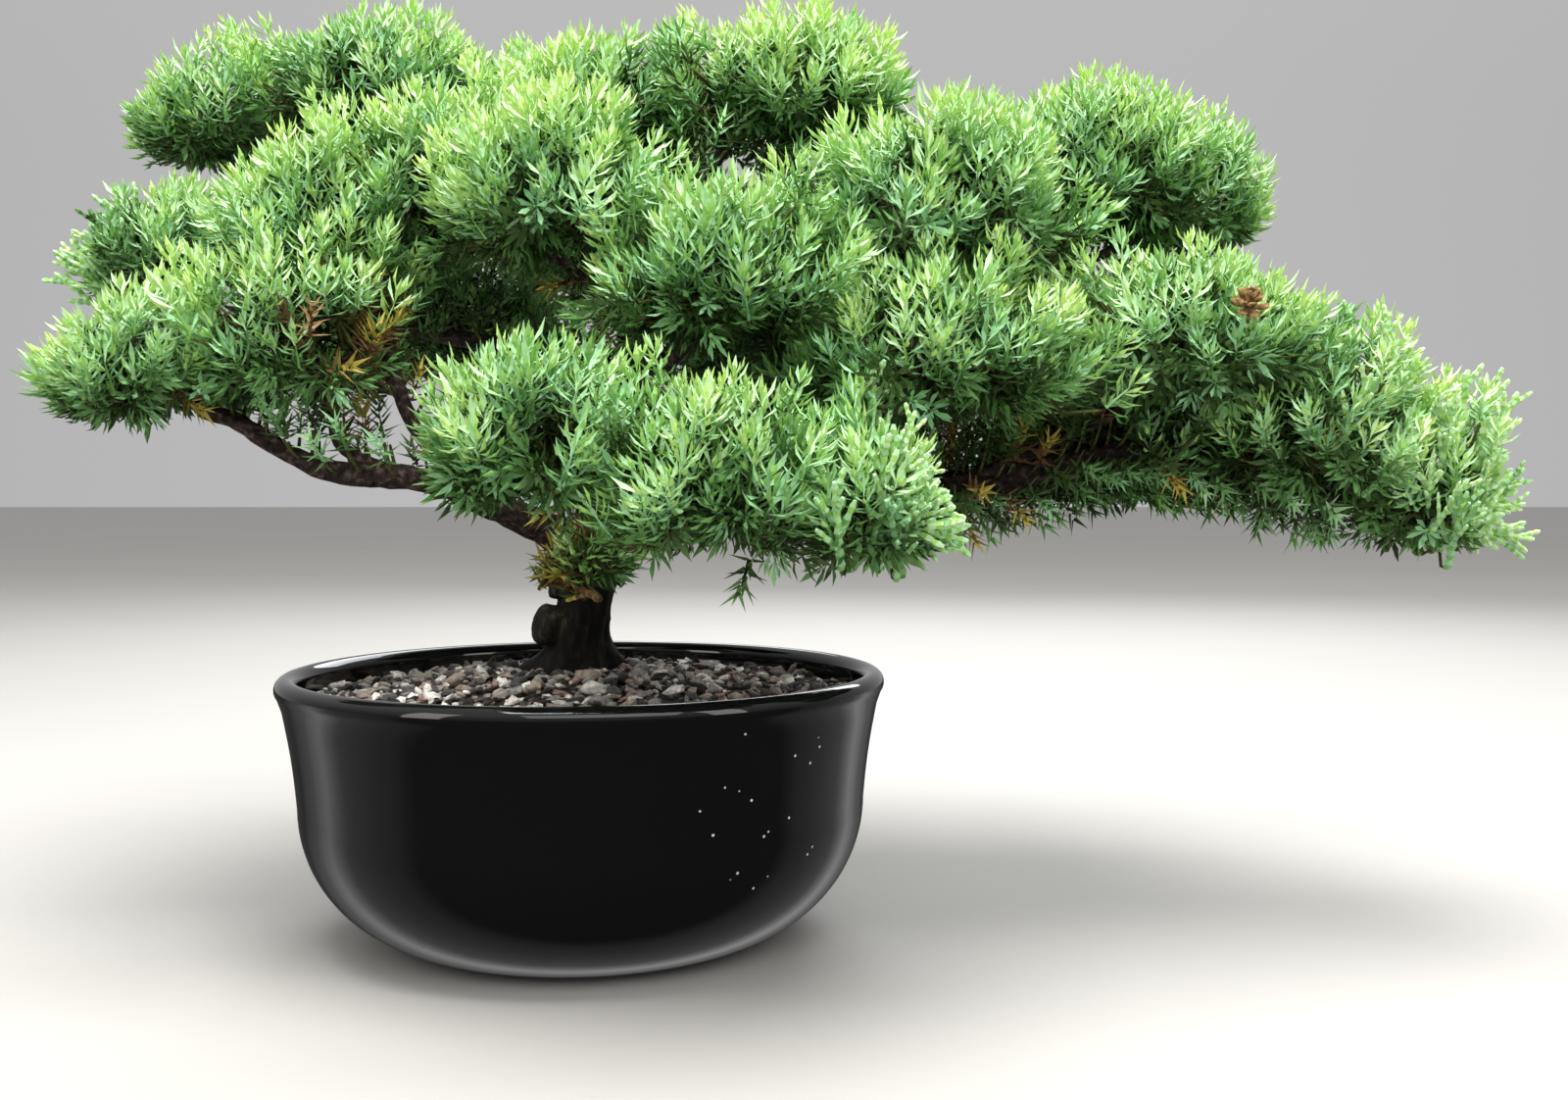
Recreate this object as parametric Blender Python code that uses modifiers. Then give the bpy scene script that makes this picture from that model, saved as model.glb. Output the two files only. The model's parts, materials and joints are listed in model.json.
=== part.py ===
"""A garden juniper bonsai, grown low and wide, in a round black glazed bowl.

Metres, +Z up. The origin is the middle of the bowl's flat foot. +X runs along the tree's longer reach and -Y is
its front. The bowl, the soil, the trunk, each bough and each pad of foliage is one object.
"""

import math
import random
from dataclasses import dataclass

import bmesh
import bpy
from mathutils import Matrix, Vector

CLEARANCE = 0.0003

# The bowl
BOWL_HEIGHT = 0.066
FOOT_RADIUS = 0.0445
BELLY_RADIUS = 0.0708
BELLY_HEIGHT = 0.034
NECK_RADIUS = 0.0742
NECK_HEIGHT = 0.058
RIM_RADIUS = 0.076
RIM_TUBE = 0.0029
WALL = 0.0052
FLOOR = 0.006
BOWL_SIDES = 32
DRAIN_RADIUS = 0.004
DRAIN_CIRCLE = 0.022
DRAIN_COUNT = 3

# The soil, which rises to a flat top under the trunk
SOIL_EDGE_HEIGHT = 0.0595
SOIL_TOP_HEIGHT = 0.065
SOIL_TOP_RADIUS = 0.019

# The trunk: its line from the soil to its tip, with its radius there
TRUNK_LINE = (
    ((-0.005, 0.004, 0.0653), 0.0086),
    ((-0.003, 0.004, 0.0700), 0.0072),
    ((-0.002, 0.004, 0.0770), 0.0066),
    ((0.000, 0.005, 0.0880), 0.0068),
    ((0.003, 0.007, 0.1000), 0.0066),
    ((0.009, 0.010, 0.1160), 0.0058),
    ((0.013, 0.013, 0.1340), 0.0051),
    ((0.012, 0.016, 0.1520), 0.0044),
    ((0.016, 0.019, 0.1700), 0.0037),
    ((0.024, 0.024, 0.1880), 0.0030),
    ((0.036, 0.033, 0.2080), 0.0021),
)
TRUNK_SIDES = 12
TRUNK_RINGS = 17
FLARE_HEIGHT = 0.010
# Surface roots: compass direction in degrees from +X, reach beyond the trunk, and width in degrees
ROOTS = ((8, 0.0075, 24), (72, 0.0040, 30), (140, 0.0045, 30), (196, 0.0060, 26), (250, 0.0035, 28), (310, 0.0045, 26))
# Healed stubs of old branches: height up the trunk, direction in degrees, radius and how far they stand out
STUBS = ((0.0765, 208, 0.0036, 0.0112), (0.0870, 195, 0.0027, 0.0088), (0.0925, 318, 0.0018, 0.0080))

# Boughs
BOUGH_SIDES_LEVEL = 1
BOUGH_TIP_RADIUS = 0.0010
BOUGH_TAPER = 0.011
POINTS_PER_BEND = 2

# Foliage
UNDER_SHARE = 0.61
ENTRY_SHARE = 0.86
SHORTEST_SPAN = 0.005
CORE_SHARE = 0.70
SPRAY_LENGTH = 0.0200
SPRAY_RADIUS = 0.0115
SPRAY_NEEDLES = 4
SPRAY_SPACING = 0.0340
SPRAY_SUNK = 0.32
TWIG_RADIUS = 0.0008
LIMB_CLEARANCE = 0.0011
NEIGHBOUR_CLEARANCE = 0.0007
GOLDEN_ANGLE = math.pi * (3 - math.sqrt(5))


@dataclass(frozen=True)
class Bough:
    """One tapering limb, from its parent's surface to a pad of foliage."""

    parent: str
    along: float
    via: tuple = ()
    stout: float = 1.0


@dataclass(frozen=True)
class Pad:
    """One mass of foliage: a dome with a shallower underside, which keeps to its own space.

    centre is the middle of its widest level. half is its half width, half depth and rise above that level.
    dip is how many degrees its +X end hangs.
    """

    centre: tuple
    half: tuple
    bough: Bough | None
    dip: float = 0.0

    def local(self, point):
        """The point in the pad's own axes, as shares of its half sizes."""
        x, y, z = Matrix.Rotation(-math.radians(self.dip), 3, "Y") @ (Vector(point) - Vector(self.centre))
        rise = self.half[2] * (1.0 if z > 0 else UNDER_SHARE)
        return Vector((x / self.half[0], y / self.half[1], z / rise))

    def world(self, share):
        """The inverse of local."""
        rise = self.half[2] * (1.0 if share.z > 0 else UNDER_SHARE)
        own = Vector((share.x * self.half[0], share.y * self.half[1], share.z * rise))
        return Vector(self.centre) + Matrix.Rotation(math.radians(self.dip), 3, "Y") @ own

    def reach(self, point):
        """0 at the middle, 1 on the surface."""
        return self.local(point).length

    @property
    def mean_half(self):
        return sum(self.half) / 3


PADS = {
    "trunk_sprig": Pad((0.002, -0.017, 0.094), (0.018, 0.014, 0.016), None),
    "front_left": Pad((-0.004, -0.068, 0.120), (0.028, 0.030, 0.031), Bough("trunk", 0.26, ((0.002, -0.022, 0.110),))),
    "front_middle": Pad(
        (0.035, -0.078, 0.111), (0.029, 0.029, 0.031),
        Bough("trunk", 0.40, ((0.017, -0.018, 0.116), (0.029, -0.043, 0.109)), 1.3),
    ),
    "front_right": Pad(
        (0.069, -0.072, 0.106), (0.027, 0.027, 0.027),
        Bough("front_middle", 0.62, ((0.043, -0.060, 0.101),)), 16,
    ),
    "centre_front": Pad((0.037, -0.042, 0.157), (0.033, 0.031, 0.031), Bough("trunk", 0.49, ((0.024, -0.012, 0.144),))),
    "centre_crown": Pad((-0.004, -0.018, 0.181), (0.034, 0.032, 0.033), Bough("trunk", 0.56, ((0.008, -0.001, 0.161),))),
    "upper_left": Pad((-0.041, 0.020, 0.191), (0.036, 0.033, 0.033), Bough("trunk", 0.62, ((-0.010, 0.017, 0.173),))),
    "left_low": Pad(
        (-0.106, -0.022, 0.138), (0.034, 0.031, 0.025),
        Bough(
            "trunk", 0.20,
            ((-0.025, -0.008, 0.109), (-0.039, -0.015, 0.114), (-0.057, -0.018, 0.1155), (-0.069, -0.019, 0.120),
             (-0.080, -0.020, 0.127)),
            1.75,
        ),
        -14,
    ),
    "left_middle": Pad((-0.066, -0.017, 0.146), (0.036, 0.034, 0.032), Bough("left_low", 0.50, ((-0.056, -0.017, 0.121),))),
    "left_upper": Pad(
        (-0.070, 0.010, 0.178), (0.033, 0.031, 0.029),
        Bough("left_low", 0.36, ((-0.0405, -0.013, 0.128), (-0.046, -0.010, 0.141), (-0.050, -0.004, 0.158))),
    ),
    "left_behind": Pad(
        (-0.126, 0.045, 0.177), (0.035, 0.031, 0.024),
        Bough("trunk", 0.51, ((-0.035, 0.026, 0.152), (-0.085, 0.038, 0.163))), -18,
    ),
    "back_left_top": Pad(
        (-0.070, 0.073, 0.229), (0.046, 0.034, 0.028),
        Bough("trunk", 0.68, ((-0.012, 0.040, 0.190), (-0.042, 0.062, 0.212)), 1.2),
    ),
    "back_left_tip": Pad(
        (-0.123, 0.075, 0.220), (0.034, 0.030, 0.025),
        Bough("back_left_top", 0.62, ((-0.064, 0.072, 0.207), (-0.092, 0.076, 0.207))), -12,
    ),
    "top_middle": Pad((-0.004, 0.050, 0.218), (0.038, 0.032, 0.028), Bough("trunk", 0.83, ((0.014, 0.038, 0.207),))),
    "top_right": Pad((0.052, 0.042, 0.221), (0.041, 0.034, 0.029), None),
    "right_centre": Pad(
        (0.088, -0.012, 0.179), (0.040, 0.036, 0.034), Bough("trunk", 0.65, ((0.040, 0.008, 0.166), (0.062, -0.002, 0.170))),
    ),
    "right_upper": Pad(
        (0.135, 0.038, 0.196), (0.040, 0.034, 0.035), Bough("trunk", 0.78, ((0.055, 0.026, 0.187), (0.095, 0.031, 0.188)), 1.1),
    ),
    "right_upper_tip": Pad(
        (0.168, 0.044, 0.189), (0.025, 0.027, 0.027), Bough("right_upper", 0.72, ((0.130, 0.043, 0.176),)),
    ),
    "right_shelf": Pad(
        (0.087, -0.036, 0.141), (0.042, 0.034, 0.030),
        Bough("trunk", 0.435, ((0.035, -0.004, 0.129), (0.060, -0.020, 0.132))),
    ),
    "right_middle": Pad((0.152, -0.012, 0.146), (0.043, 0.036, 0.031), Bough("right_tip", 0.47, ((0.128, -0.008, 0.128),))),
    "right_under": Pad((0.136, 0.022, 0.120), (0.043, 0.033, 0.030), Bough("right_tip", 0.36, ((0.106, 0.009, 0.113),))),
    "right_outer": Pad(
        (0.186, -0.006, 0.123), (0.037, 0.033, 0.034), Bough("right_tip", 0.60, ((0.160, 0.002, 0.1225),)), 14,
    ),
    "right_tip": Pad(
        (0.210, -0.008, 0.108), (0.031, 0.027, 0.033),
        Bough(
            "trunk", 0.33,
            ((0.040, 0.007, 0.112), (0.070, 0.003, 0.111), (0.100, 0.000, 0.113), (0.125, -0.002, 0.119),
             (0.145, -0.003, 0.1215), (0.170, -0.004, 0.115), (0.188, -0.006, 0.109)),
            2.0,
        ),
        24,
    ),
    "inner_right": Pad((0.050, 0.016, 0.152), (0.034, 0.032, 0.032), Bough("trunk", 0.47, ((0.030, 0.012, 0.135),))),
    "back_centre": Pad((0.010, 0.088, 0.187), (0.046, 0.034, 0.034), Bough("trunk", 0.70, ((0.014, 0.050, 0.178),))),
    "back_right": Pad((0.088, 0.078, 0.185), (0.044, 0.034, 0.034), Bough("trunk", 0.745, ((0.042, 0.046, 0.182),))),
    "back_low_right": Pad((0.062, 0.067, 0.143), (0.043, 0.036, 0.032), Bough("trunk", 0.39, ((0.028, 0.034, 0.131),), 1.2)),
    "back_low_left": Pad((-0.048, 0.067, 0.158), (0.046, 0.036, 0.033), Bough("trunk", 0.445, ((-0.008, 0.036, 0.143),))),
    "back_far_right": Pad(
        (0.146, 0.070, 0.153), (0.038, 0.031, 0.031), Bough("back_low_right", 0.55, ((0.074, 0.062, 0.125), (0.108, 0.068, 0.137))),
    ),
}


class Limb:
    """A limb's smooth line with its radius at each point."""

    def __init__(self, points, radii):
        self.points = points
        self.radii = radii
        self.lengths = [0.0]
        for start, end in zip(points, points[1:]):
            self.lengths.append(self.lengths[-1] + (end - start).length)

    @property
    def length(self):
        return self.lengths[-1]

    def at(self, share):
        """The point and radius at this share of the length."""
        wanted = share * self.length
        for index in range(1, len(self.points)):
            if self.lengths[index] >= wanted or index == len(self.points) - 1:
                step = self.lengths[index] - self.lengths[index - 1]
                part = (wanted - self.lengths[index - 1]) / step
                point = self.points[index - 1].lerp(self.points[index], part)
                return point, self.radii[index - 1] * (1 - part) + self.radii[index] * part

    def gap_to(self, point):
        """How far the point is from the limb's surface."""
        nearest = math.inf
        pairs = zip(self.points, self.points[1:], self.radii, self.radii[1:])
        for start, end, start_radius, end_radius in pairs:
            line = end - start
            part = min(1.0, max(0.0, (point - start).dot(line) / line.length_squared))
            radius = start_radius * (1 - part) + end_radius * part
            nearest = min(nearest, (point - start - line * part).length - radius)
        return nearest


def clear_scene():
    for obj in list(bpy.data.objects):
        bpy.data.objects.remove(obj, do_unlink=True)


def finish(name, colour, roughness, metallic=0.0):
    """A Principled material of this colour."""
    made = bpy.data.materials.new(name)
    made.use_nodes = True
    shader = made.node_tree.nodes["Principled BSDF"]
    shader.inputs["Base Color"].default_value = (*colour, 1.0)
    shader.inputs["Roughness"].default_value = roughness
    shader.inputs["Metallic"].default_value = metallic
    return made


def link(obj, collection, material=None):
    collection.objects.link(obj)
    if material is not None:
        obj.data.materials.clear()
        obj.data.materials.append(material)
    return obj


def object_from(name, bm):
    mesh = bpy.data.meshes.new(name)
    bmesh.ops.recalc_face_normals(bm, faces=bm.faces)
    bm.to_mesh(mesh)
    bm.free()
    return bpy.data.objects.new(name, mesh)


def evaluated_mesh(obj, name):
    """The object's mesh with its modifiers or bevel applied, in world space, with its doubles merged."""
    bpy.context.view_layer.update()
    graph = bpy.context.evaluated_depsgraph_get()
    mesh = bpy.data.meshes.new_from_object(obj.evaluated_get(graph))
    mesh.name = name
    mesh.transform(obj.matrix_world)
    bm = bmesh.new()
    bm.from_mesh(mesh)
    bmesh.ops.remove_doubles(bm, verts=bm.verts, dist=1e-7)
    bm.to_mesh(mesh)
    bm.free()
    return mesh


def island_volumes(bm):
    """Each connected shell as (signed volume, its faces)."""
    left = set(bm.faces)
    shells = []
    while left:
        stack = [left.pop()]
        shell = []
        while stack:
            face = stack.pop()
            shell.append(face)
            for edge in face.edges:
                for other in edge.link_faces:
                    if other in left:
                        left.remove(other)
                        stack.append(other)
        volume = 0.0
        for face in shell:
            corners = [vert.co for vert in face.verts]
            for second, third in zip(corners[1:], corners[2:]):
                volume += corners[0].dot(second.cross(third)) / 6
        shells.append((volume, shell))
    return shells


def keep_main_body(mesh):
    """Drops loose scraps and fills sealed hollows, so that one closed body is left."""
    bm = bmesh.new()
    bm.from_mesh(mesh)
    shells = island_volumes(bm)
    largest = max(volume for volume, _ in shells)
    for volume, shell in shells:
        if volume < largest:
            bmesh.ops.delete(bm, geom=shell, context="FACES")
    bmesh.ops.dissolve_degenerate(bm, edges=bm.edges, dist=1e-7)
    bm.to_mesh(mesh)
    bm.free()


def joined(base, helpers, operation, solver="EXACT"):
    """Applies one Boolean of base with every object in the helpers collection, then removes those objects."""
    modifier = base.modifiers.new(operation.lower(), "BOOLEAN")
    modifier.operation = operation
    modifier.operand_type = "COLLECTION"
    modifier.collection = helpers
    modifier.solver = solver
    mesh = evaluated_mesh(base, base.name)
    base.modifiers.clear()
    base.data = mesh
    for obj in list(helpers.objects):
        bpy.data.objects.remove(obj, do_unlink=True)
    keep_main_body(base.data)
    return base


def smooth_line(points, per_span):
    """A Catmull-Rom line through the points."""
    places = [Vector(point) for point in points]
    ends = [places[0] * 2 - places[1], *places, places[-1] * 2 - places[-2]]
    line = []
    for first, second, third, fourth in zip(ends, ends[1:], ends[2:], ends[3:]):
        for step in range(per_span):
            t = step / per_span
            line.append(
                0.5 * (2 * second + (third - first) * t + (2 * first - 5 * second + 4 * third - fourth) * t * t
                       + (3 * second - first - 3 * third + fourth) * t**3)
            )
    return [*line, places[-1]]


def bowl_outside():
    """The bowl's outer side as (radius, height), from its neck down to its foot: a straight wall on a round belly."""
    run = BELLY_RADIUS - FOOT_RADIUS
    arc = (run**2 + BELLY_HEIGHT**2) / (2 * run)
    middle = BELLY_RADIUS - arc
    end = math.asin(BELLY_HEIGHT / arc)
    wall = [(NECK_RADIUS, NECK_HEIGHT), ((NECK_RADIUS + BELLY_RADIUS) / 2 - 0.0002, (NECK_HEIGHT + BELLY_HEIGHT) / 2)]
    belly = [
        (middle + arc * math.cos(end * step / 5), BELLY_HEIGHT - arc * math.sin(end * step / 5)) for step in range(6)
    ]
    return wall + belly


def bowl_inside(inset=0.0):
    """The bowl's inner side from the middle of its floor up to under the rim, moved in by inset."""
    side = [
        (radius - WALL, height) for radius, height in reversed(bowl_outside()) if height > FLOOR + 0.009
    ]
    return [(0.0, FLOOR + inset), (FOOT_RADIUS + 0.002, FLOOR + inset)] + [
        (radius - inset, height) for radius, height in side
    ]


def turned(name, profile, sides, collection, material):
    """The profile turned once about Z."""
    mesh = bpy.data.meshes.new(name)
    mesh.from_pydata([(radius, 0, height) for radius, height in profile], [(i, i + 1) for i in range(len(profile) - 1)], [])
    obj = bpy.data.objects.new(name, mesh)
    link(obj, collection, material)
    screw = obj.modifiers.new("turn", "SCREW")
    screw.steps = screw.render_steps = sides
    screw.use_merge_vertices = True
    screw.merge_threshold = 0.00005
    screw.use_smooth_shade = True
    return obj


def make_bowl(parts, helpers, glaze):
    rim_middle = (RIM_RADIUS - RIM_TUBE, BOWL_HEIGHT - RIM_TUBE)
    rim = []
    for step in range(6):
        turn = math.radians(200 - 48 * step)
        rim.append((rim_middle[0] + RIM_TUBE * math.cos(turn), rim_middle[1] + RIM_TUBE * math.sin(turn)))
    profile = bowl_inside() + rim + bowl_outside() + [(0.0, 0.0)]
    bowl = turned("bowl", profile, BOWL_SIDES, parts, glaze)
    for index in range(DRAIN_COUNT):
        turn = math.tau * (index + 0.25) / DRAIN_COUNT
        drill = bmesh.new()
        bmesh.ops.create_cone(drill, cap_ends=True, segments=10, radius1=DRAIN_RADIUS, radius2=DRAIN_RADIUS, depth=3 * FLOOR)
        bmesh.ops.translate(
            drill, verts=drill.verts, vec=(DRAIN_CIRCLE * math.cos(turn), DRAIN_CIRCLE * math.sin(turn), FLOOR / 2)
        )
        link(object_from(f"drain_{index}", drill), helpers)
    return joined(bowl, helpers, "DIFFERENCE")


def soil_height(radius):
    """The soil's surface: flat round the trunk, falling in a soft slope to the bowl's wall."""
    edge = bowl_inside(CLEARANCE)[-1][0]
    share = min(1.0, max(0.0, (radius - SOIL_TOP_RADIUS) / (edge - SOIL_TOP_RADIUS)))
    return SOIL_TOP_HEIGHT - (SOIL_TOP_HEIGHT - SOIL_EDGE_HEIGHT) * math.sin(share * math.pi / 2) ** 1.4


def make_soil(parts, earth):
    side = [point for point in bowl_inside(CLEARANCE) if point[1] < SOIL_EDGE_HEIGHT]
    side = side[:2] + side[3:-1:2] + side[-1:]
    edge = side[-1][0]
    surface = [(edge * share, soil_height(edge * share)) for share in (0.0, 0.28, 0.55, 0.8, 1.0)]
    return turned("soil", surface + list(reversed(side)), BOWL_SIDES, parts, earth)


def trunk_limb():
    per_span = 2
    line = smooth_line([place for place, _ in TRUNK_LINE], per_span)
    radii = []
    for (_, start), (_, end) in zip(TRUNK_LINE, TRUNK_LINE[1:]):
        radii += [start + (end - start) * step / per_span for step in range(per_span)]
    return Limb(line, [*radii, TRUNK_LINE[-1][1]])


def flare(angle, height):
    """How far the surface roots push the trunk out in this direction, at this height above the soil."""
    fade = max(0.0, 1 - height / FLARE_HEIGHT) ** 2
    push = 0.0
    for compass, reach, width in ROOTS:
        away = (math.degrees(angle) - compass + 180) % 360 - 180
        push += reach * math.exp(-((away / width) ** 2))
    return push * fade


def trunk_skin(limb, extra=0.0):
    """The trunk as level rings: rooted at its flat foot, rounder above, with a slow twist of ridges."""
    bm = bmesh.new()
    rings = []
    foot = limb.points[0].z
    for index in range(TRUNK_RINGS):
        share = (index / (TRUNK_RINGS - 1)) ** 1.15
        middle, radius = limb.at(share)
        height = middle.z - foot
        ring = []
        for side in range(TRUNK_SIDES):
            angle = math.tau * side / TRUNK_SIDES
            ridge = 1 + 0.09 * math.sin(3 * angle + 60 * height) + 0.05 * math.sin(5 * angle - 90 * height)
            out = radius * ridge + flare(angle, height) + extra
            ring.append(bm.verts.new(middle + out * Vector((math.cos(angle), math.sin(angle), 0))))
        rings.append(ring)
    for lower, upper in zip(rings, rings[1:]):
        for side in range(TRUNK_SIDES):
            following = (side + 1) % TRUNK_SIDES
            bm.faces.new((lower[side], lower[following], upper[following], upper[side]))
    bm.faces.new(list(reversed(rings[0])))
    bm.faces.new(rings[-1])
    return bm


def make_trunk(limb, parts, helpers, bark):
    trunk = link(object_from("trunk", trunk_skin(limb)), parts, bark)
    for index, (height, compass, radius, reach) in enumerate(STUBS):
        middle = next(point for point in limb.points if point.z >= height - 0.004)
        out = Vector((math.cos(math.radians(compass)), math.sin(math.radians(compass)), 0.25)).normalized()
        stub = bmesh.new()
        bmesh.ops.create_cone(
            stub, cap_ends=True, segments=8, radius1=radius * 1.15, radius2=radius * 0.85, depth=reach
        )
        turn = out.to_track_quat("Z", "Y").to_matrix().to_4x4()
        place = Matrix.Translation(Vector((middle.x, middle.y, height)) + out * reach / 2) @ turn
        bmesh.ops.transform(stub, matrix=place, verts=stub.verts)
        link(object_from(f"stub_{index}", stub), helpers)
    return joined(trunk, helpers, "UNION")


def places_on(start, pad):
    """What a bough's line passes from there: its named places and its entry into the pad, no two of them crowded."""
    via = [Vector(place) for place in pad.bough.via]
    towards = Vector(pad.centre) - via[-1]
    steps = (via[-1] + towards * step / 400 for step in range(1, 400))
    entry = next(point for point in steps if pad.reach(point) <= ENTRY_SHARE)
    if (entry - via[-1]).length < SHORTEST_SPAN:
        via.pop()
    return [start, *via, entry]


def grow_limbs(trunk):
    """Every limb by name. A bough on another bough comes after it."""
    limbs = {"trunk": trunk}
    waiting = {name: pad for name, pad in PADS.items() if pad.bough}
    while waiting:
        for name, pad in list(waiting.items()):
            bough = pad.bough
            if bough.parent not in limbs:
                continue
            start, parent_radius = limbs[bough.parent].at(bough.along)
            line = smooth_line(places_on(start, pad), POINTS_PER_BEND)
            limb = Limb(line, [0.0] * len(line))
            tip = BOUGH_TIP_RADIUS * min(bough.stout, 1.4)
            root = min(tip + BOUGH_TAPER * limb.length * bough.stout, 0.78 * parent_radius)
            limb.radii = [root + (tip - root) * (reached / limb.length) ** 0.8 for reached in limb.lengths]
            limbs[name] = limb
            del waiting[name]
    return limbs


def tube(name, limb, extra=0.0):
    """The limb as a bevelled curve with filled ends, made a mesh."""
    curve = bpy.data.curves.new(name, "CURVE")
    curve.dimensions = "3D"
    curve.bevel_depth = 1.0
    curve.bevel_resolution = BOUGH_SIDES_LEVEL
    curve.use_fill_caps = True
    spline = curve.splines.new("POLY")
    spline.points.add(len(limb.points) - 1)
    for point, place, radius in zip(spline.points, limb.points, limb.radii):
        point.co = (*place, 1)
        point.radius = radius + extra
    wire = bpy.data.objects.new(name, curve)
    bpy.context.scene.collection.objects.link(wire)
    mesh = evaluated_mesh(wire, name)
    bpy.data.objects.remove(wire, do_unlink=True)
    bpy.data.curves.remove(curve)
    return bpy.data.objects.new(name, mesh)


def fattened(name, limbs, extra):
    """A cutter that clears a limb by this much."""
    if name == "trunk":
        return object_from("clear", trunk_skin(limbs["trunk"], extra))
    return tube("clear", limbs[name], extra)


def make_bough(name, limbs, parts, helpers, bark):
    """A bough whose root is hollowed to seat on its parent's side."""
    bough = link(tube(f"bough_{name}", limbs[name]), parts, bark)
    link(fattened(PADS[name].bough.parent, limbs, CLEARANCE), helpers)
    return joined(bough, helpers, "DIFFERENCE")


class Growth:
    """Grows one pad: a stem, twigs that fork from it towards evenly spread sprays, and a core that they stand out of."""

    def __init__(self, name, limbs):
        self.name = name
        self.pad = PADS[name]
        self.limbs = limbs
        self.neighbours = [
            pad for other, pad in PADS.items()
            if other != name and (Vector(pad.centre) - Vector(self.pad.centre)).length < 2 * (pad.mean_half + self.pad.mean_half)
        ]
        self.rng = random.Random(name)
        if self.pad.bough:
            limb = limbs[name]
            way = (limb.points[-1] - limb.points[-2]).normalized()
            self.foot = limb.points[-1] + way * CLEARANCE
            self.stem_radius = limb.radii[-1]
        elif name == "top_right":
            limb = limbs["trunk"]
            way = (limb.points[-1] - limb.points[-2]).normalized()
            self.foot = limb.points[-1] + Vector((0, 0, 4 * CLEARANCE))
            self.stem_radius = limb.radii[-1] * 0.8
        else:
            middle, radius = limbs["trunk"].at(0.215)
            out = (Vector(self.pad.centre) - middle).normalized()
            self.foot = middle + out * (radius * 1.15 + 2 * CLEARANCE)
            self.stem_radius = BOUGH_TIP_RADIUS
        self.heart = Vector(self.pad.centre)

    def belongs(self, point):
        """Whether the point is in the pad's own space, off its neighbours and off every limb."""
        reach = self.pad.reach(point)
        if reach > 1.0:
            return False
        for other in self.neighbours:
            if (other.reach(point) - reach) * min(other.mean_half, self.pad.mean_half) < NEIGHBOUR_CLEARANCE:
                return False
        return all(limb.gap_to(point) > LIMB_CLEARANCE for limb in self.limbs.values())

    def spray_places(self):
        """Where sprays end, as shares of the pad, and which way they point: a golden-angle spread over it."""
        a, b, c = self.pad.half
        skin = 4 * math.pi * ((a * b) ** 1.6 / 3 + (a * c * 0.8) ** 1.6 / 3 + (b * c * 0.8) ** 1.6 / 3) ** (1 / 1.6)
        count = max(8, round(skin / SPRAY_SPACING**2))
        for index in range(count):
            height = 0.96 - 1.62 * (index + 0.5) / count
            turn = index * GOLDEN_ANGLE + self.rng.uniform(-0.25, 0.25)
            level = math.sqrt(1 - height * height)
            share = Vector((level * math.cos(turn), level * math.sin(turn), height))
            out = (self.pad.world(share) - self.pad.world(share * 0.5)).normalized()
            up = 0.75 if height > -0.2 else -0.15
            yield share * self.rng.uniform(0.90, 0.98), (out + Vector((0, 0, up))).normalized()

    def spray(self, tip, way, size):
        """A tuft of needles: a point-down cone whose ring is drawn out to needle tips, with one more needle on top."""
        length, radius = SPRAY_LENGTH * size, SPRAY_RADIUS * size
        bm = bmesh.new()
        bmesh.ops.create_cone(
            bm, cap_ends=True, cap_tris=True, segments=2 * SPRAY_NEEDLES, radius1=0.0, radius2=radius, depth=length
        )
        bmesh.ops.remove_doubles(bm, verts=bm.verts, dist=1e-6)
        lean = self.rng.uniform(0, math.tau)
        for vert in bm.verts:
            side = math.hypot(vert.co.x, vert.co.y)
            if side > radius / 2:
                index = round(math.atan2(vert.co.y, vert.co.x) / (math.pi / SPRAY_NEEDLES))
                needle = index % 2 == 0
                vert.co.xy *= self.rng.uniform(0.85, 1.0) if needle else 0.34
                vert.co.z = length * (0.26 + self.rng.uniform(-0.08, 0.08) if needle else -0.08)
        turn = way.to_track_quat("Z", "Y").to_matrix().to_4x4()
        place = Matrix.Translation(tip - way * length / 2) @ turn @ Matrix.Rotation(lean, 4, "Z")
        bmesh.ops.transform(bm, matrix=place, verts=bm.verts)
        return bm

    def twig(self, start, end, start_radius, end_radius, sides=3):
        bm = bmesh.new()
        line = end - start
        bmesh.ops.create_cone(
            bm, cap_ends=True, segments=sides, radius1=start_radius, radius2=end_radius, depth=line.length
        )
        place = Matrix.Translation((start + end) / 2) @ line.to_track_quat("Z", "Y").to_matrix().to_4x4()
        bmesh.ops.transform(bm, matrix=place, verts=bm.verts)
        return bm

    def core(self):
        """The dense inside: a low sphere drawn to the pad's shape and kept out of its neighbours' space."""
        bm = bmesh.new()
        bmesh.ops.create_icosphere(bm, subdivisions=1, radius=1.0)
        for vert in bm.verts:
            share = vert.co.normalized()
            bumpy = CORE_SHARE * self.rng.uniform(0.76, 1.16)
            reach = 0.12
            while reach < bumpy and self.belongs(self.pad.world(share * (reach + 0.06))):
                reach += 0.03
            vert.co = self.pad.world(share * min(reach, bumpy))
        return bm

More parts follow.
